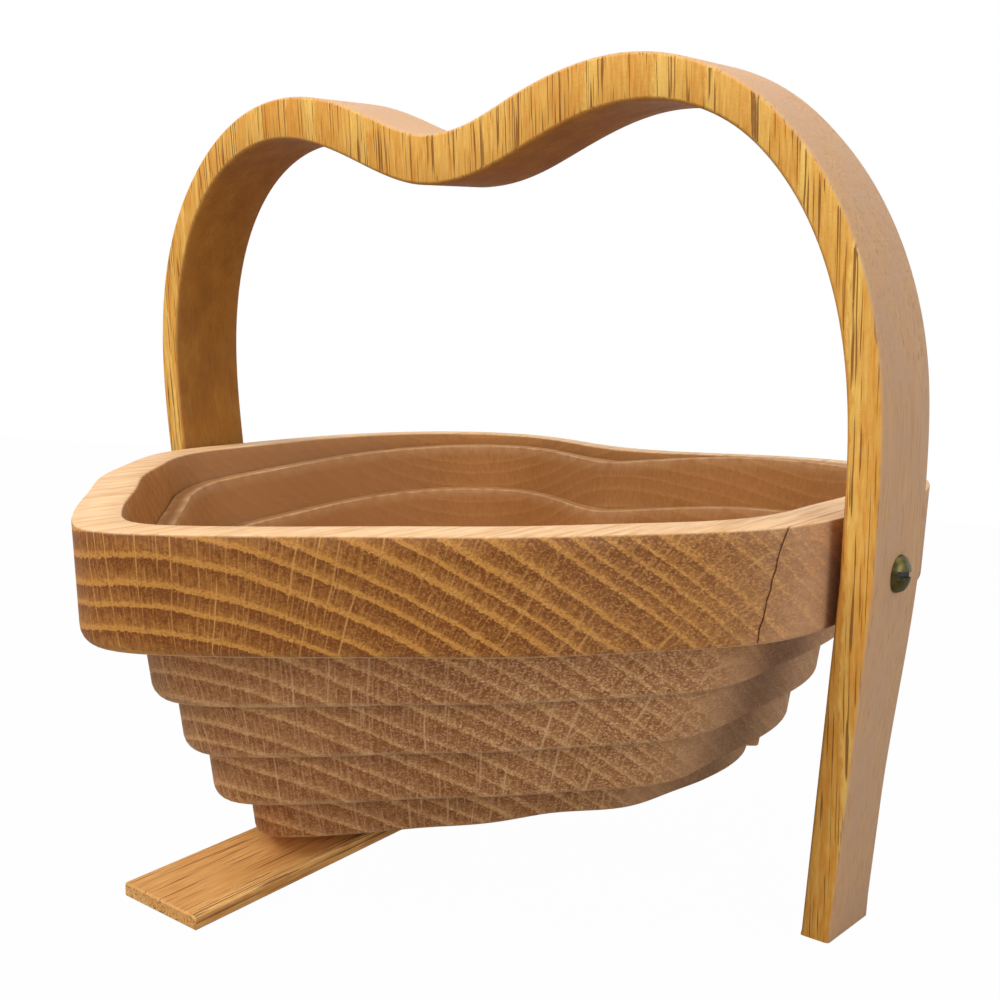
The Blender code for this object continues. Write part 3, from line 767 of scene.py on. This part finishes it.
handleWood = {
    "late": linear(224, 148, 44), "early": linear(255, 210, 108), "pore": linear(132, 74, 15),
    "ray": linear(240, 184, 100),
    "side": linear(210, 168, 134), "sideShare": 0.9, "inner": linear(148, 94, 30), "innerShare": 0.92,
    # edge: wear and painted highlight on the eased corners
    "edge": linear(238, 190, 124), "edgeWearAndHighlightShare": 0.3, "sawing": 0.6, "rightward": {},
    "amounts": {
        "Ring contrast": (0.35, 0.15), "Pore amount": (0.9, 0.3), "Ray amount": (0.3, 0.1),
        "Speck amount": (0.05, 0.2), "Streak amount": (1.3, 0.5),
    },
}
# The slat's colours are set lighter to make up for the basket's shadow over it: painted light
footWood = dict(handleWood, late=linear(216, 150, 78), early=linear(250, 198, 124), pore=linear(150, 98, 48))
rimOak = oakMaterial("rimOak", rimWood)
turnOak = oakMaterial("turnOak", turnWood)
handleOak = oakMaterial("handleOak", handleWood)
footOak = oakMaterial("footOak", footWood)


brass = {
    "plain": linear(120, 108, 62), "dark": linear(66, 62, 32), "light": linear(118, 108, 66),
    # near black: the painted shade in the screw slots
    "grime": linear(20, 18, 10),
}


def brassMaterial():
    material, tree, shader = newMaterial("agedBrass", brass["plain"])
    tarnish = noise("tarnish", grow(tree, "TexCoord", "Object"))
    colour = blendColour(mapRange(tarnish, 0.35, 0.7), brass["dark"], brass["light"])
    # Painted shade: the slot's faces take the near-black colour, in place of the shadow inside the slot
    colour = blendColour(attributeOf(tree, "grime"), colour, brass["grime"])
    plug(shader, Base_Color=colour, Roughness=mapRange(tarnish, 0.3, 0.7, 0.3, 0.5), Metallic=1.0)
    return material


paintedCrackShade = {"dark": linear(46, 22, 12), "light": linear(104, 62, 34)}


# Painted shade inside the split: its walls are coloured a mottled dark brown, in place of the shadow in the
# narrow gap
def crackMaterial():
    material, tree, shader = newMaterial("crackShade", paintedCrackShade["dark"])
    crackShadeMottle = noise("crackShadeMottle", attributeOf(tree, "boardSpot", "Vector"))
    colour = blendColour(mapRange(crackShadeMottle, 0.4, 0.75), paintedCrackShade["dark"], paintedCrackShade["light"])
    plug(shader, Base_Color=colour, Roughness=mapRange(crackShadeMottle, 0.3, 0.7, 0.8, 0.95))
    return material


agedBrass = brassMaterial()
crackShade = crackMaterial()


ripple = {
    "from": radians(292), "to": radians(352), "fade": radians(14),     # bearings on the rim's inner wall
    "length": 2.1 * mm, "depth": 0.4 * mm, "step": radians(0.25),
}


# Waves that the saw left on the inner wall where it turned round the tip
def rippleAt(run):
    bearing = (spiral["start"] + run) % fullTurn
    rise = smoothStep((bearing - ripple["from"]) / ripple["fade"])
    fall = smoothStep((ripple["to"] - bearing) / ripple["fade"])
    return ripple["depth"] * rise * fall * sin(fullTurn * bearing * board["halfWidth"] / ripple["length"])


# Cross-sections of the rim, closer together along the ripples
def rimRuns():
    first, last = [(ripple[end] - spiral["start"]) % fullTurn for end in ("from", "to")]
    runs = runsBetween(0.0, first) + runsBetween(first, last, ripple["step"])[1:]
    return runs + runsBetween(last, fullTurn - board["seatGap"] / board["halfWidth"])[1:]


crack = {
    "x": 103.2 * mm,                # a split along the fibre, just inside the rim's right side
    "lean": 0.14,                   # sideways for each step up
    "front": -36 * mm, "back": 24 * mm,
    "width": 0.34 * mm, "jag": 0.16 * mm,
    "stations": 16, "rows": 15, "seed": 7,
    "halfFront": 0.5, "halfBack": 0.12,                     # shares of the width
    "reach": 1.25, "endLow": 0.6, "riseFrom": 0.45,         # shares of half the board, and of the length
}


# A thin jagged blade as high as the board in front, running out upwards at its back end
def crackCutter():
    chance = random.Random(crack["seed"])
    stations, rows, reach = crack["stations"], crack["rows"], crack["reach"]
    jags = [[chance.uniform(-1, 1) * crack["jag"] for _ in range(rows + 1)] for _ in range(stations + 1)]
    solid = bmesh.new()
    sheets = []
    for side in (-1, 1):
        sheet = []
        for n in range(stations + 1):
            share = n / stations
            half = crack["width"] * mix(crack["halfFront"], crack["halfBack"], share)
            rise = smoothStep((share - crack["riseFrom"]) / (1 - crack["riseFrom"]))
            lowest = mix(-reach, crack["endLow"], rise) * halfBoard
            column = []
            for row in range(rows + 1):
                height = mix(lowest, reach * halfBoard, row / rows)
                x = crack["x"] + crack["lean"] * height + jags[n // 4][row] + side * half
                place = Vector((x, mix(crack["front"], crack["back"], share), height))
                column.append(solid.verts.new(rimFrame @ place))
            sheet.append(column)
        sheets.append(sheet)
    for sheet in sheets:
        for n in range(stations):
            for row in range(rows):
                solid.faces.new((sheet[n][row], sheet[n + 1][row], sheet[n + 1][row + 1], sheet[n][row + 1]))
    rim = [(n, 0) for n in range(stations)] + [(stations, row) for row in range(rows)]
    rim += [(n, rows) for n in range(stations, 0, -1)] + [(0, row) for row in range(rows, 0, -1)]
    for (n, row), (m, line) in zip(rim, rim[1:] + rim[:1]):
        solid.faces.new((sheets[0][n][row], sheets[0][m][line], sheets[1][m][line], sheets[1][n][row]))
    bmesh.ops.recalc_face_normals(solid, faces=solid.faces)
    mesh = bpy.data.meshes.new("crackCutter")
    solid.to_mesh(mesh)
    solid.free()
    # the cutter's faces become the crack's walls, in the painted shade
    mesh.materials.append(rimOak)
    mesh.materials.append(crackShade)
    mesh.polygons.foreach_set("material_index", [1] * len(mesh.polygons))
    return linkNew("crackCutter", mesh)


# Cuts the crack, and gives the new corners what their wood reads
def splitRim(rim):
    old = rim.data
    looks = {kind: [0.0] * len(old.vertices) for kind in ("edgeWear", "inside", "endGrain")}
    for kind, values in looks.items():
        old.attributes[kind].data.foreach_get("value", values)
    tree = KDTree(len(old.vertices))
    for vertex in old.vertices:
        tree.insert(vertex.co, vertex.index)
    tree.balance()
    cutter = crackCutter()
    cut = rim.modifiers.new("crack", "BOOLEAN")
    cut.operation, cut.solver, cut.object = "DIFFERENCE", "EXACT", cutter
    cut.material_mode = "INDEX"
    split = bpy.data.meshes.new_from_object(rim.evaluated_get(bpy.context.evaluated_depsgraph_get()))
    rim.modifiers.remove(cut)
    bpy.data.objects.remove(cutter)
    while len(split.materials) < 2:
        split.materials.append(crackShade)
    split.materials[1] = crackShade
    toRim = rimFrame.inverted()
    nearest = [tree.find(vertex.co)[1] for vertex in split.vertices]
    spots = [value for vertex in split.vertices for value in toRim @ vertex.co]
    split.attributes["boardSpot"].data.foreach_set("vector", spots)
    for kind, values in looks.items():
        split.attributes[kind].data.foreach_set("value", [values[n] for n in nearest])
    split.name = "rimBand"
    rim.data = split


def makeRim():
    def edgesAt(run):
        return 0.0, cutInset(0, run) + rippleAt(run), lowerRound(run), spiral["rimLean"]
    rim = sweepBand("rimBand", rimRuns(), edgesAt, lambda run: ((0.0, 0.0), 0.0), rimOak, closed=True)
    splitRim(rim)
    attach(rim, "rim")
    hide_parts("basket_rim")


def makeTurn(turn):
    body, above = f"turn_{turn}", "rim" if turn == 1 else f"turn_{turn - 1}"

    def edgesAt(run):
        return cutInset(turn - 1, run) + board["kerf"], cutInset(turn, run), lowerRound(run), taper

    ways = [(way, spiral["slopeCentre"]) for way in slopeWays] + [((0.0, 0.0), 1.0)]
    bounds = [seam] + spiral["slopeRuns"][1:] + [fullTurn - seam]
    for n, (first, last) in enumerate(zip(bounds, bounds[1:])):
        piece = sweepBand(
            f"turn{turn}Stretch{n + 1}", runsBetween(first, last), edgesAt, lambda run: ways[n], turnOak,
            level=levels[turn - 1], drop=drops[turn - 1])
        if n < len(slopeWays):
            bendAlong(piece)
        else:
            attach(piece, body)
        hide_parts(f"spiral_turn_{turn}")


# The middle of the board, and the neck that joins it to the last turn
def makeBase():
    last = spiral["turns"]
    middle = cutInset(last, 0.0) + (board["kerf"] + spiral["pitch"]) / 2
    neckStart, neckEnd = cutPlace(0.0, middle), cutPlace(spiral["neckFall"], middle)
    way = neckEnd - neckStart

    def neckSink(point):
        return levels[last] + drops[last] * smoothStep((point - neckStart).dot(way) / way.length_squared)

    def edgeInset(run):
        inset = cutInset(last, run) + board["kerf"]
        point = cutPlace(run, inset)
        above = levels[last - 1] + drops[last - 1] * slopeShare(run, point)
        overhang = bevel * (neckSink(point) - above) - (board["kerf"] - board["seatGap"])
        extra = spiral["baseExtra"] * smoothStep((run - spiral["neck"]) / pi)
        away = bearingOff(run, spiral["baseTrimBearing"]) / spiral["baseTrimReach"]
        return inset + max(overhang, extra + spiral["baseTrim"] * (1 - smoothStep(away)))

    def neckRound(run):
        return mix(lowerRound(run), spiral["baseRound"], smoothStep(run / spiral["neck"]))

    def slotInset(run):
        return cutInset(last + 1, run)

    slope = way / way.length_squared
    slotRuns = runsBetween(seam, spiral["neck"])
    offset = slope.dot(heartCentre - neckStart)
    neck = sweepBand(
        "baseNeck", slotRuns, lambda run: (edgeInset(run), slotInset(run), neckRound(run), taper),
        lambda run: (slope, offset), turnOak, level=levels[last], drop=drops[last])
    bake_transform(neck)
    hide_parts("basket_base")

    # The plate: a row of points down its edge at each station, closed above and below by one face
    outline = [(run, edgeInset(run)) for run in runsBetween(spiral["neck"], fullTurn)]
    outline += [(run, slotInset(run) + board["kerf"]) for run in slotRuns]
    top, radius, corner = halfBoard - spiral["topEase"], spiral["baseRound"], spiral["cornerSteps"]
    places, spots, looks = [], [], []
    for run, inset in outline:
        profile = [(inset + spiral["topEase"], halfBoard, 0.5, 1.0), (inset, top, 0.3, 0.0)]
        foot = inset + taper
        for row in range(1, spiral["wallRows"]):
            share = row / spiral["wallRows"]
            profile.append((mix(inset, foot, share), mix(top, radius - halfBoard, share), 0.0, 0.0))
        for step in range(corner + 1):
            swing = pi / 2 * step / corner
            depth, height = foot + radius * (1 - cos(swing)), radius * (1 - sin(swing)) - halfBoard
            profile.append((depth, height, step / corner, 0.0))
        across = abs(heartNormal(spiral["start"] + run).y)
        for depth, height, wearAndHighlight, inside in profile:
            point = cutPlace(run, depth)
            flat = height - board["pivotRaise"]
            places.append(rimFrame @ Vector((point.x, point.y, flat - levels[last + 1])))
            spots.append((point.x, point.y, flat))
            looks.append((wearAndHighlight, inside, across))
    count, size = len(outline), len(profile)
    faces = wallFaces(count, size, True)
    faces += [tuple(n * size + end for n in range(count)) for end in (0, size - 1)]
    plate = makeMesh("basePlate", places, faces, spots, looks, turnOak)
    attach(plate, "base")
    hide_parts("basket_base")


handle = {
    "lean": radians(4),
    "legLength": 89.2 * mm,
    "legWidth": 7.8 * mm,
    "crownWidth": 12.6 * mm,
    "footWidth": 7.0 * mm,
    "drawIn": 7.2 * mm,
    "ease": 0.9 * mm,
    "crownFrom": radians(130),
    "crownTo": radians(162),
    "crownSteps": 220,
    "legSteps": 24,
    "cornerSteps": 3,
    "flare": 1.6 * mm,              # the right side is sawn out of square, wider at its back
    "flareFrom": -60 * mm,
    "flareTo": 95 * mm,
    "flareRise": 55 * mm,
}


# Where the heart's outline crosses the pivot axis
def sideAngle():
    low, high = radians(60), radians(120)
    for _ in range(40):
        middle = (low + high) / 2
        if heartPoint(middle).y < 0.0:
            low = middle
        else:
            high = middle
    return low


# Inner and outer points of the band, from the right foot over the crown to the left foot
def handleRows():
    right = sideAngle()
    rows = []
    for n in range(handle["crownSteps"] + 1):
        angle = mix(right, fullTurn - right, n / handle["crownSteps"])
        fold = min(angle, fullTurn - angle)
        share = smoothStep((fold - handle["crownFrom"]) / (handle["crownTo"] - handle["crownFrom"]))
        width = mix(handle["legWidth"], handle["crownWidth"], share)
        point, out = heartPoint(angle), heartNormal(angle)
        rows.append((point + out * board["handleKerf"], point + out * (board["handleKerf"] + width)))
    top = rows[0][0].x
    leg = []
    for n in range(handle["legSteps"]):
        share = 1 - n / handle["legSteps"]
        inner = Vector((top - handle["drawIn"] * share, -handle["legLength"] * share))
        leg.append((inner, inner + Vector((mix(handle["legWidth"], handle["footWidth"], share), 0.0))))
    mirrored = [(Vector((-inner.x, inner.y)), Vector((-outer.x, outer.y))) for inner, outer in leg[::-1]]
    return leg + rows + mirrored


# Rounded rectangle as (across, depth, wear and painted highlight, inside, face), and wider by the
# flare at its back
def handleProfile(width, flare):
    ease, steps = handle["ease"], handle["cornerSteps"]
    corners = ((width, -halfBoard), (width, halfBoard), (0.0, halfBoard), (0.0, -halfBoard))
    points = []
    for corner, (across, depth) in enumerate(corners):
        isOuter = corner < 2
        centre = (across - ease if isOuter else ease, depth - ease if depth > 0 else depth + ease)
        for step in range(steps + 1):
            swing = pi / 2 * (corner - 1 + step / steps)
            wall = abs(cos(swing))
            wearAndHighlight = 0.6 if 0 < step < steps else 0.3
            place = (centre[0] + ease * cos(swing), centre[1] + ease * sin(swing))
            points.append((*place, wearAndHighlight, 0, 1 - wall) if isOuter else (*place, wearAndHighlight, wall, 1))
        if corner == 0:
            points += [(width, halfBoard * share, 0, 0, 0) for share in (-0.5, 0.0, 0.5)]
        if corner == 2:
            points += [(0.0, halfBoard * share, 0, 1, 1) for share in (0.5, 0.0, -0.5)]
    spread = []
    for across, depth, wearAndHighlight, inside, face in points:
        back = (depth / halfBoard + 1) / 2
        spread.append((across + flare * back * across / width, depth, wearAndHighlight, inside, face))
    return spread


def makeHandle():
    rows = handleRows()
    handleFrame = rimFrame @ Matrix.Rotation(handle["lean"], 4, "X")
    slant = tan(rimTilt + handle["lean"])
    places, spots, looks = [], [], []
    for row, (inner, outer) in enumerate(rows):
        across = (outer - inner).normalized()
        isFoot = row in (0, len(rows) - 1)
        rise = smoothStep((inner.y - handle["flareFrom"]) / handle["flareRise"])
        fall = smoothStep((handle["flareTo"] - inner.y) / handle["flareRise"])
        flare = handle["flare"] * rise * fall if inner.x > 0 else 0.0
        profile = handleProfile((outer - inner).length, flare)
        for along, depth, wearAndHighlight, inside, face in profile:
            place = inner + across * along
            high = place.y - (depth * slant if isFoot else 0.0)
            places.append(handleFrame @ Vector((place.x, depth, high)))
            spots.append((place.x, high, -depth))
            looks.append((wearAndHighlight, inside, face))
    count, size = len(rows), len(profile)
    faces = wallFaces(count, size, False)
    faces += [tuple(range(first, first + size)) for first in (0, (count - 1) * size)]
    piece = makeMesh("handleBand", places, faces, spots, looks, handleOak)
    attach(piece, "handle")
    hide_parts("handle_frame")


slat = {
    "round": 0.4 * mm, "clearOfBore": 8 * mm, "roundSteps": 2,
    "boardSpot": Vector((31 * mm, 200 * mm, 60 * mm)),      # its wood, away from the board's
}


# The CAD slat with its corners joined and its outer edges rounded
def makeSlat():
    axis = jointNamed("foot_swivel")
    bore, along = Vector(axis["pos_m"]), Vector(axis["axis"])
    solid = bmesh.new()
    solid.from_mesh(frame["nodes"]["swivel_foot"].data)
    bmesh.ops.remove_doubles(solid, verts=solid.verts, dist=weldDistance)
    bmesh.ops.dissolve_limit(solid, angle_limit=radians(2), verts=solid.verts, edges=solid.edges)

    def isOuter(edge):
        middle = (edge.verts[0].co + edge.verts[1].co) / 2 - bore
        aside = (middle - along * middle.dot(along)).length
        return aside > slat["clearOfBore"] and edge.calc_face_angle(0.0) > radians(60)
    outer = [edge for edge in solid.edges if isOuter(edge)]
    bmesh.ops.bevel(
        solid, geom=outer, offset=slat["round"], segments=slat["roundSteps"], profile=0.5, affect="EDGES")
    bmesh.ops.triangulate(solid, faces=[face for face in solid.faces if len(face.verts) > 4])
    mesh = bpy.data.meshes.new("footSlat")
    solid.to_mesh(mesh)
    solid.free()
    toRim = rimFrame.inverted()
    setAttribute(mesh, "boardSpot", [toRim @ vertex.co + slat["boardSpot"] for vertex in mesh.vertices])
    for kind, value in (("edgeWear", 0.0), ("inside", 0.0), ("endGrain", 1.0)):
        setAttribute(mesh, kind, [value] * len(mesh.vertices))
    mesh.materials.append(footOak)
    piece = finishMesh(linkNew("footSlat", mesh))
    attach(piece, "foot")
    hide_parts("swivel_foot")


screw = {
    "Head radius": 4.3 * mm, "Head height": 2.9 * mm, "Rim height": 0.6 * mm, "Slot width": 1.3 * mm,
    "Slot depth": 1.4 * mm, "Shank radius": 2.2 * mm, "Point length": 2.0 * mm,
}
screwSteps = {"head": 40, "dome": 8, "shank": 32, "length": 24}


# Round-head slotted screws, one at each point, its head above the point and its shank below
def screwTree():
    tree, given, result = newTree("slottedScrew", "Geometry", {
        "Geometry": "Geometry", **screw, "Shank length": 10 * mm, "Material": "Material",
    }, {"Geometry": "Geometry"})
    headRadius, headHeight, rimHeight = given["Head radius"], given["Head height"], given["Rim height"]
    place = grow(tree, "InputPosition")
    x, y, z = apart(place)

    # The head: a low drum whose top is drawn up into a dome
    drum = grow(
        tree, "MeshCylinder", fill_type="TRIANGLE_FAN", Vertices=screwSteps["head"], Side_Segments=1,
        Fill_Segments=screwSteps["dome"], Radius=headRadius, Depth=rimHeight)
    share = over(vectors("LENGTH", vectors("MULTIPLY", place, (1, 1, 0))), headRadius)
    dome = maths("SQRT", minus(1.0, times(share, share), clamp=True))
    dome = times(times(dome, minus(headHeight, rimHeight)), maths("GREATER_THAN", z, 0.0))
    drum = grow(tree, "SetPosition", Geometry=drum, Offset=joined(0.0, 0.0, plus(dome, over(rimHeight, 2))))

    # The shank reaches into the head and narrows to its point
    length = given["Shank length"]
    rod = grow(
        tree, "MeshCylinder", fill_type="NGON", Vertices=screwSteps["shank"],
        Side_Segments=screwSteps["length"], Radius=given["Shank radius"], Depth=plus(length, rimHeight))
    sunk = minus(z, over(minus(length, rimHeight), 2))
    narrow = mapRange(over(plus(sunk, length), given["Point length"]), 0.0, 1.0, 0.4, 1.0)
    rod = grow(tree, "SetPosition", Geometry=rod, Position=joined(times(x, narrow), times(y, narrow), sunk))
    union = addNode(tree, "GeometryNodeMeshBoolean", operation="UNION")
    for part in (rod, drum):
        feed(part, union.inputs[1])

    # The slot, with room to spare at its ends, and painted shade on its faces: they are marked to take a
    # near-black colour
    size = joined(given["Slot width"], times(headRadius, 2.5), times(given["Slot depth"], 2))
    block = grow(tree, "MeshCube", Size=size)
    block = grow(tree, "SetPosition", Geometry=block, Offset=joined(0.0, 0.0, headHeight))
    slotted = grow(tree, "MeshBoolean", operation="DIFFERENCE", Mesh_1=union.outputs[0], Mesh_2=block)
    inSlot = maths("LESS_THAN", maths("ABSOLUTE", x), times(given["Slot width"], 0.52))
    inSlot = times(inSlot, maths("GREATER_THAN", z, minus(headHeight, times(given["Slot depth"], 1.02))))
    withSlotShade = store(tree, slotted, "grime", inSlot, domain="FACE")
    turn = grow(tree, "InputNamedAttribute", data_type="FLOAT_VECTOR", Name="turn")
    placed = grow(tree, "InstanceOnPoints", Points=given["Geometry"], Instance=withSlotShade, Rotation=turn)
    return endTree(tree, given, result, placed)


slottedScrew = screwTree()


# Their places and lengths come from the CAD screws: how far each reaches along its joint's axis
def makeScrews():
    fold, swivel = jointNamed("handle_fold"), jointNamed("foot_swivel")
    down = -Vector(swivel["axis"])
    pivots = {"pivot_screw_right": Vector((1, 0, 0)), "pivot_screw_left": Vector((-1, 0, 0))}
    sets = (("pivotScrews", "rim", fold, pivots), ("footScrew", "base", swivel, {"foot_screw": down}))
    for name, body, joint, nodes in sets:
        middle = Vector(joint["pos_m"])
        places, turns = [], []
        for node, outwards in nodes.items():
            reaches = [(vertex.co - middle).dot(outwards) for vertex in frame["nodes"][node].data.vertices]
            places.append(middle + outwards * (max(reaches) - screw["Head height"]))
            turns.append(Vector((0, 0, 1)).rotation_difference(outwards).to_euler())
        length = max(reaches) - min(reaches) - screw["Head height"]
        piece = runTree(pointMesh(name, places, turn=turns), slottedScrew, {
            **screw, "Shank length": length, "Material": agedBrass})
        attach(piece, body)
        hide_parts(*nodes)


# The CAD washer stays as it is, in the screws' brass
def dressWasher():
    for slot in frame["nodes"]["foot_washer"].material_slots:
        slot.material = agedBrass


floor = {"reach": 3.0, "drop": 0.5 * mm, "grey": 0.4, "seenWhite": 0.985}
lights = {
    "ambient": 0.3, "aim": (0, 0, 0.1),
    "keyLamp": {"place": (-0.35, -0.85, 0.95), "size": 0.6, "power": 10.6},
    "topLamp": {"place": (0.1, -0.1, 1.15), "size": 0.8, "power": 3.2},
    "sideLamp": {"place": (0.95, -0.35, 0.45), "size": 0.6, "power": 2.8},
}


def makeFloor():
    reach = floor["reach"]
    corners = [(-reach, -reach, 0), (reach, -reach, 0), (reach, reach, 0), (-reach, reach, 0)]
    mesh = bpy.data.meshes.new("floor")
    mesh.from_pydata(corners, [], [(0, 1, 2, 3)])
    sheet = linkNew("floor", mesh)
    sheet.location.z = -floor["drop"]
    material, tree, shader = newMaterial("paleFloor", (0.9, 0.9, 0.9))
    plug(shader, Base_Color=(floor["grey"],) * 3, Roughness=0.8)
    seen = times(grow(tree, "LightPath", "Is Camera Ray"), floor["seenWhite"])
    both = wired("MixShader", seen, shader.outputs[0], grow(tree, "Emission", Color=(1, 1, 1)))
    feed(both, tree.nodes["Material Output"].inputs["Surface"])
    mesh.materials.append(material)


# A soft ambient light that the camera and reflections see as white, and three round lamps
def makeLights():
    world = bpy.data.worlds.new("studio")
    bpy.context.scene.world = world
    world.use_nodes = True
    tree = world.node_tree
    tree.nodes.clear()
    path = grow(tree, "LightPath").node.outputs
    seen = maths("MAXIMUM", path["Is Glossy Ray"], path["Is Transmission Ray"])
    seen = maths("MAXIMUM", path["Is Camera Ray"], seen)
    around = grow(tree, "Background", Color=(1, 1, 1), Strength=lights["ambient"])
    both = wired("MixShader", seen, around, grow(tree, "Background", Color=(1, 1, 1)))
    feed(both, addNode(tree, "ShaderNodeOutputWorld").inputs["Surface"])
    for name in ("keyLamp", "topLamp", "sideLamp"):
        place = Vector(lights[name]["place"])
        data = bpy.data.lights.new(name, "AREA")
        data.shape = "DISK"
        data.size = lights[name]["size"]
        data.energy = lights[name]["power"]
        lamp = linkNew(name, data)
        lamp.location = place
        lamp.rotation_euler = (Vector(lights["aim"]) - place).to_track_quat("-Z", "Y").to_euler()


camera = {
    "place": (8.15046, -10.09945, 2.11895),     # in board thicknesses, in the rim's frame
    "yaw": 0.65675, "pitch": 0.14862, "roll": 0.010526,
    "lens": 42.1116,
}


def makeCamera():
    yaw, pitch, roll = camera["yaw"], camera["pitch"], camera["roll"]
    ahead = Vector((-sin(yaw), cos(yaw), 0))
    right = Vector((cos(yaw), sin(yaw), 0))
    up = Vector((0, 0, 1))
    ahead, up = ahead * cos(pitch) - up * sin(pitch), up * cos(pitch) + ahead * sin(pitch)
    right, up = right * cos(roll) + up * sin(roll), up * cos(roll) - right * sin(roll)
    turned = Matrix((right, up, -ahead)).transposed().to_4x4()
    data = bpy.data.cameras.new("camera")
    data.lens = camera["lens"]
    data.sensor_width = 36.0
    data.clip_start = 0.01
    holder = linkNew("camera", data)
    holder.matrix_world = rimFrame @ Matrix.Translation(Vector(camera["place"]) * board["thickness"]) @ turned
    bpy.context.scene.camera = holder


makeCamera()
makeLights()
makeFloor()
print("camera, lights and floor are in place")
makeRim()
print("rim made")
for turn in range(1, spiral["turns"] + 1):
    makeTurn(turn)
    print("turn", turn, "made")
makeBase()
print("base made")
makeHandle()
print("handle made")
makeSlat()
makeScrews()
dressWasher()
print("slat and screws made")

bpy.context.scene.view_settings.view_transform = "Standard"
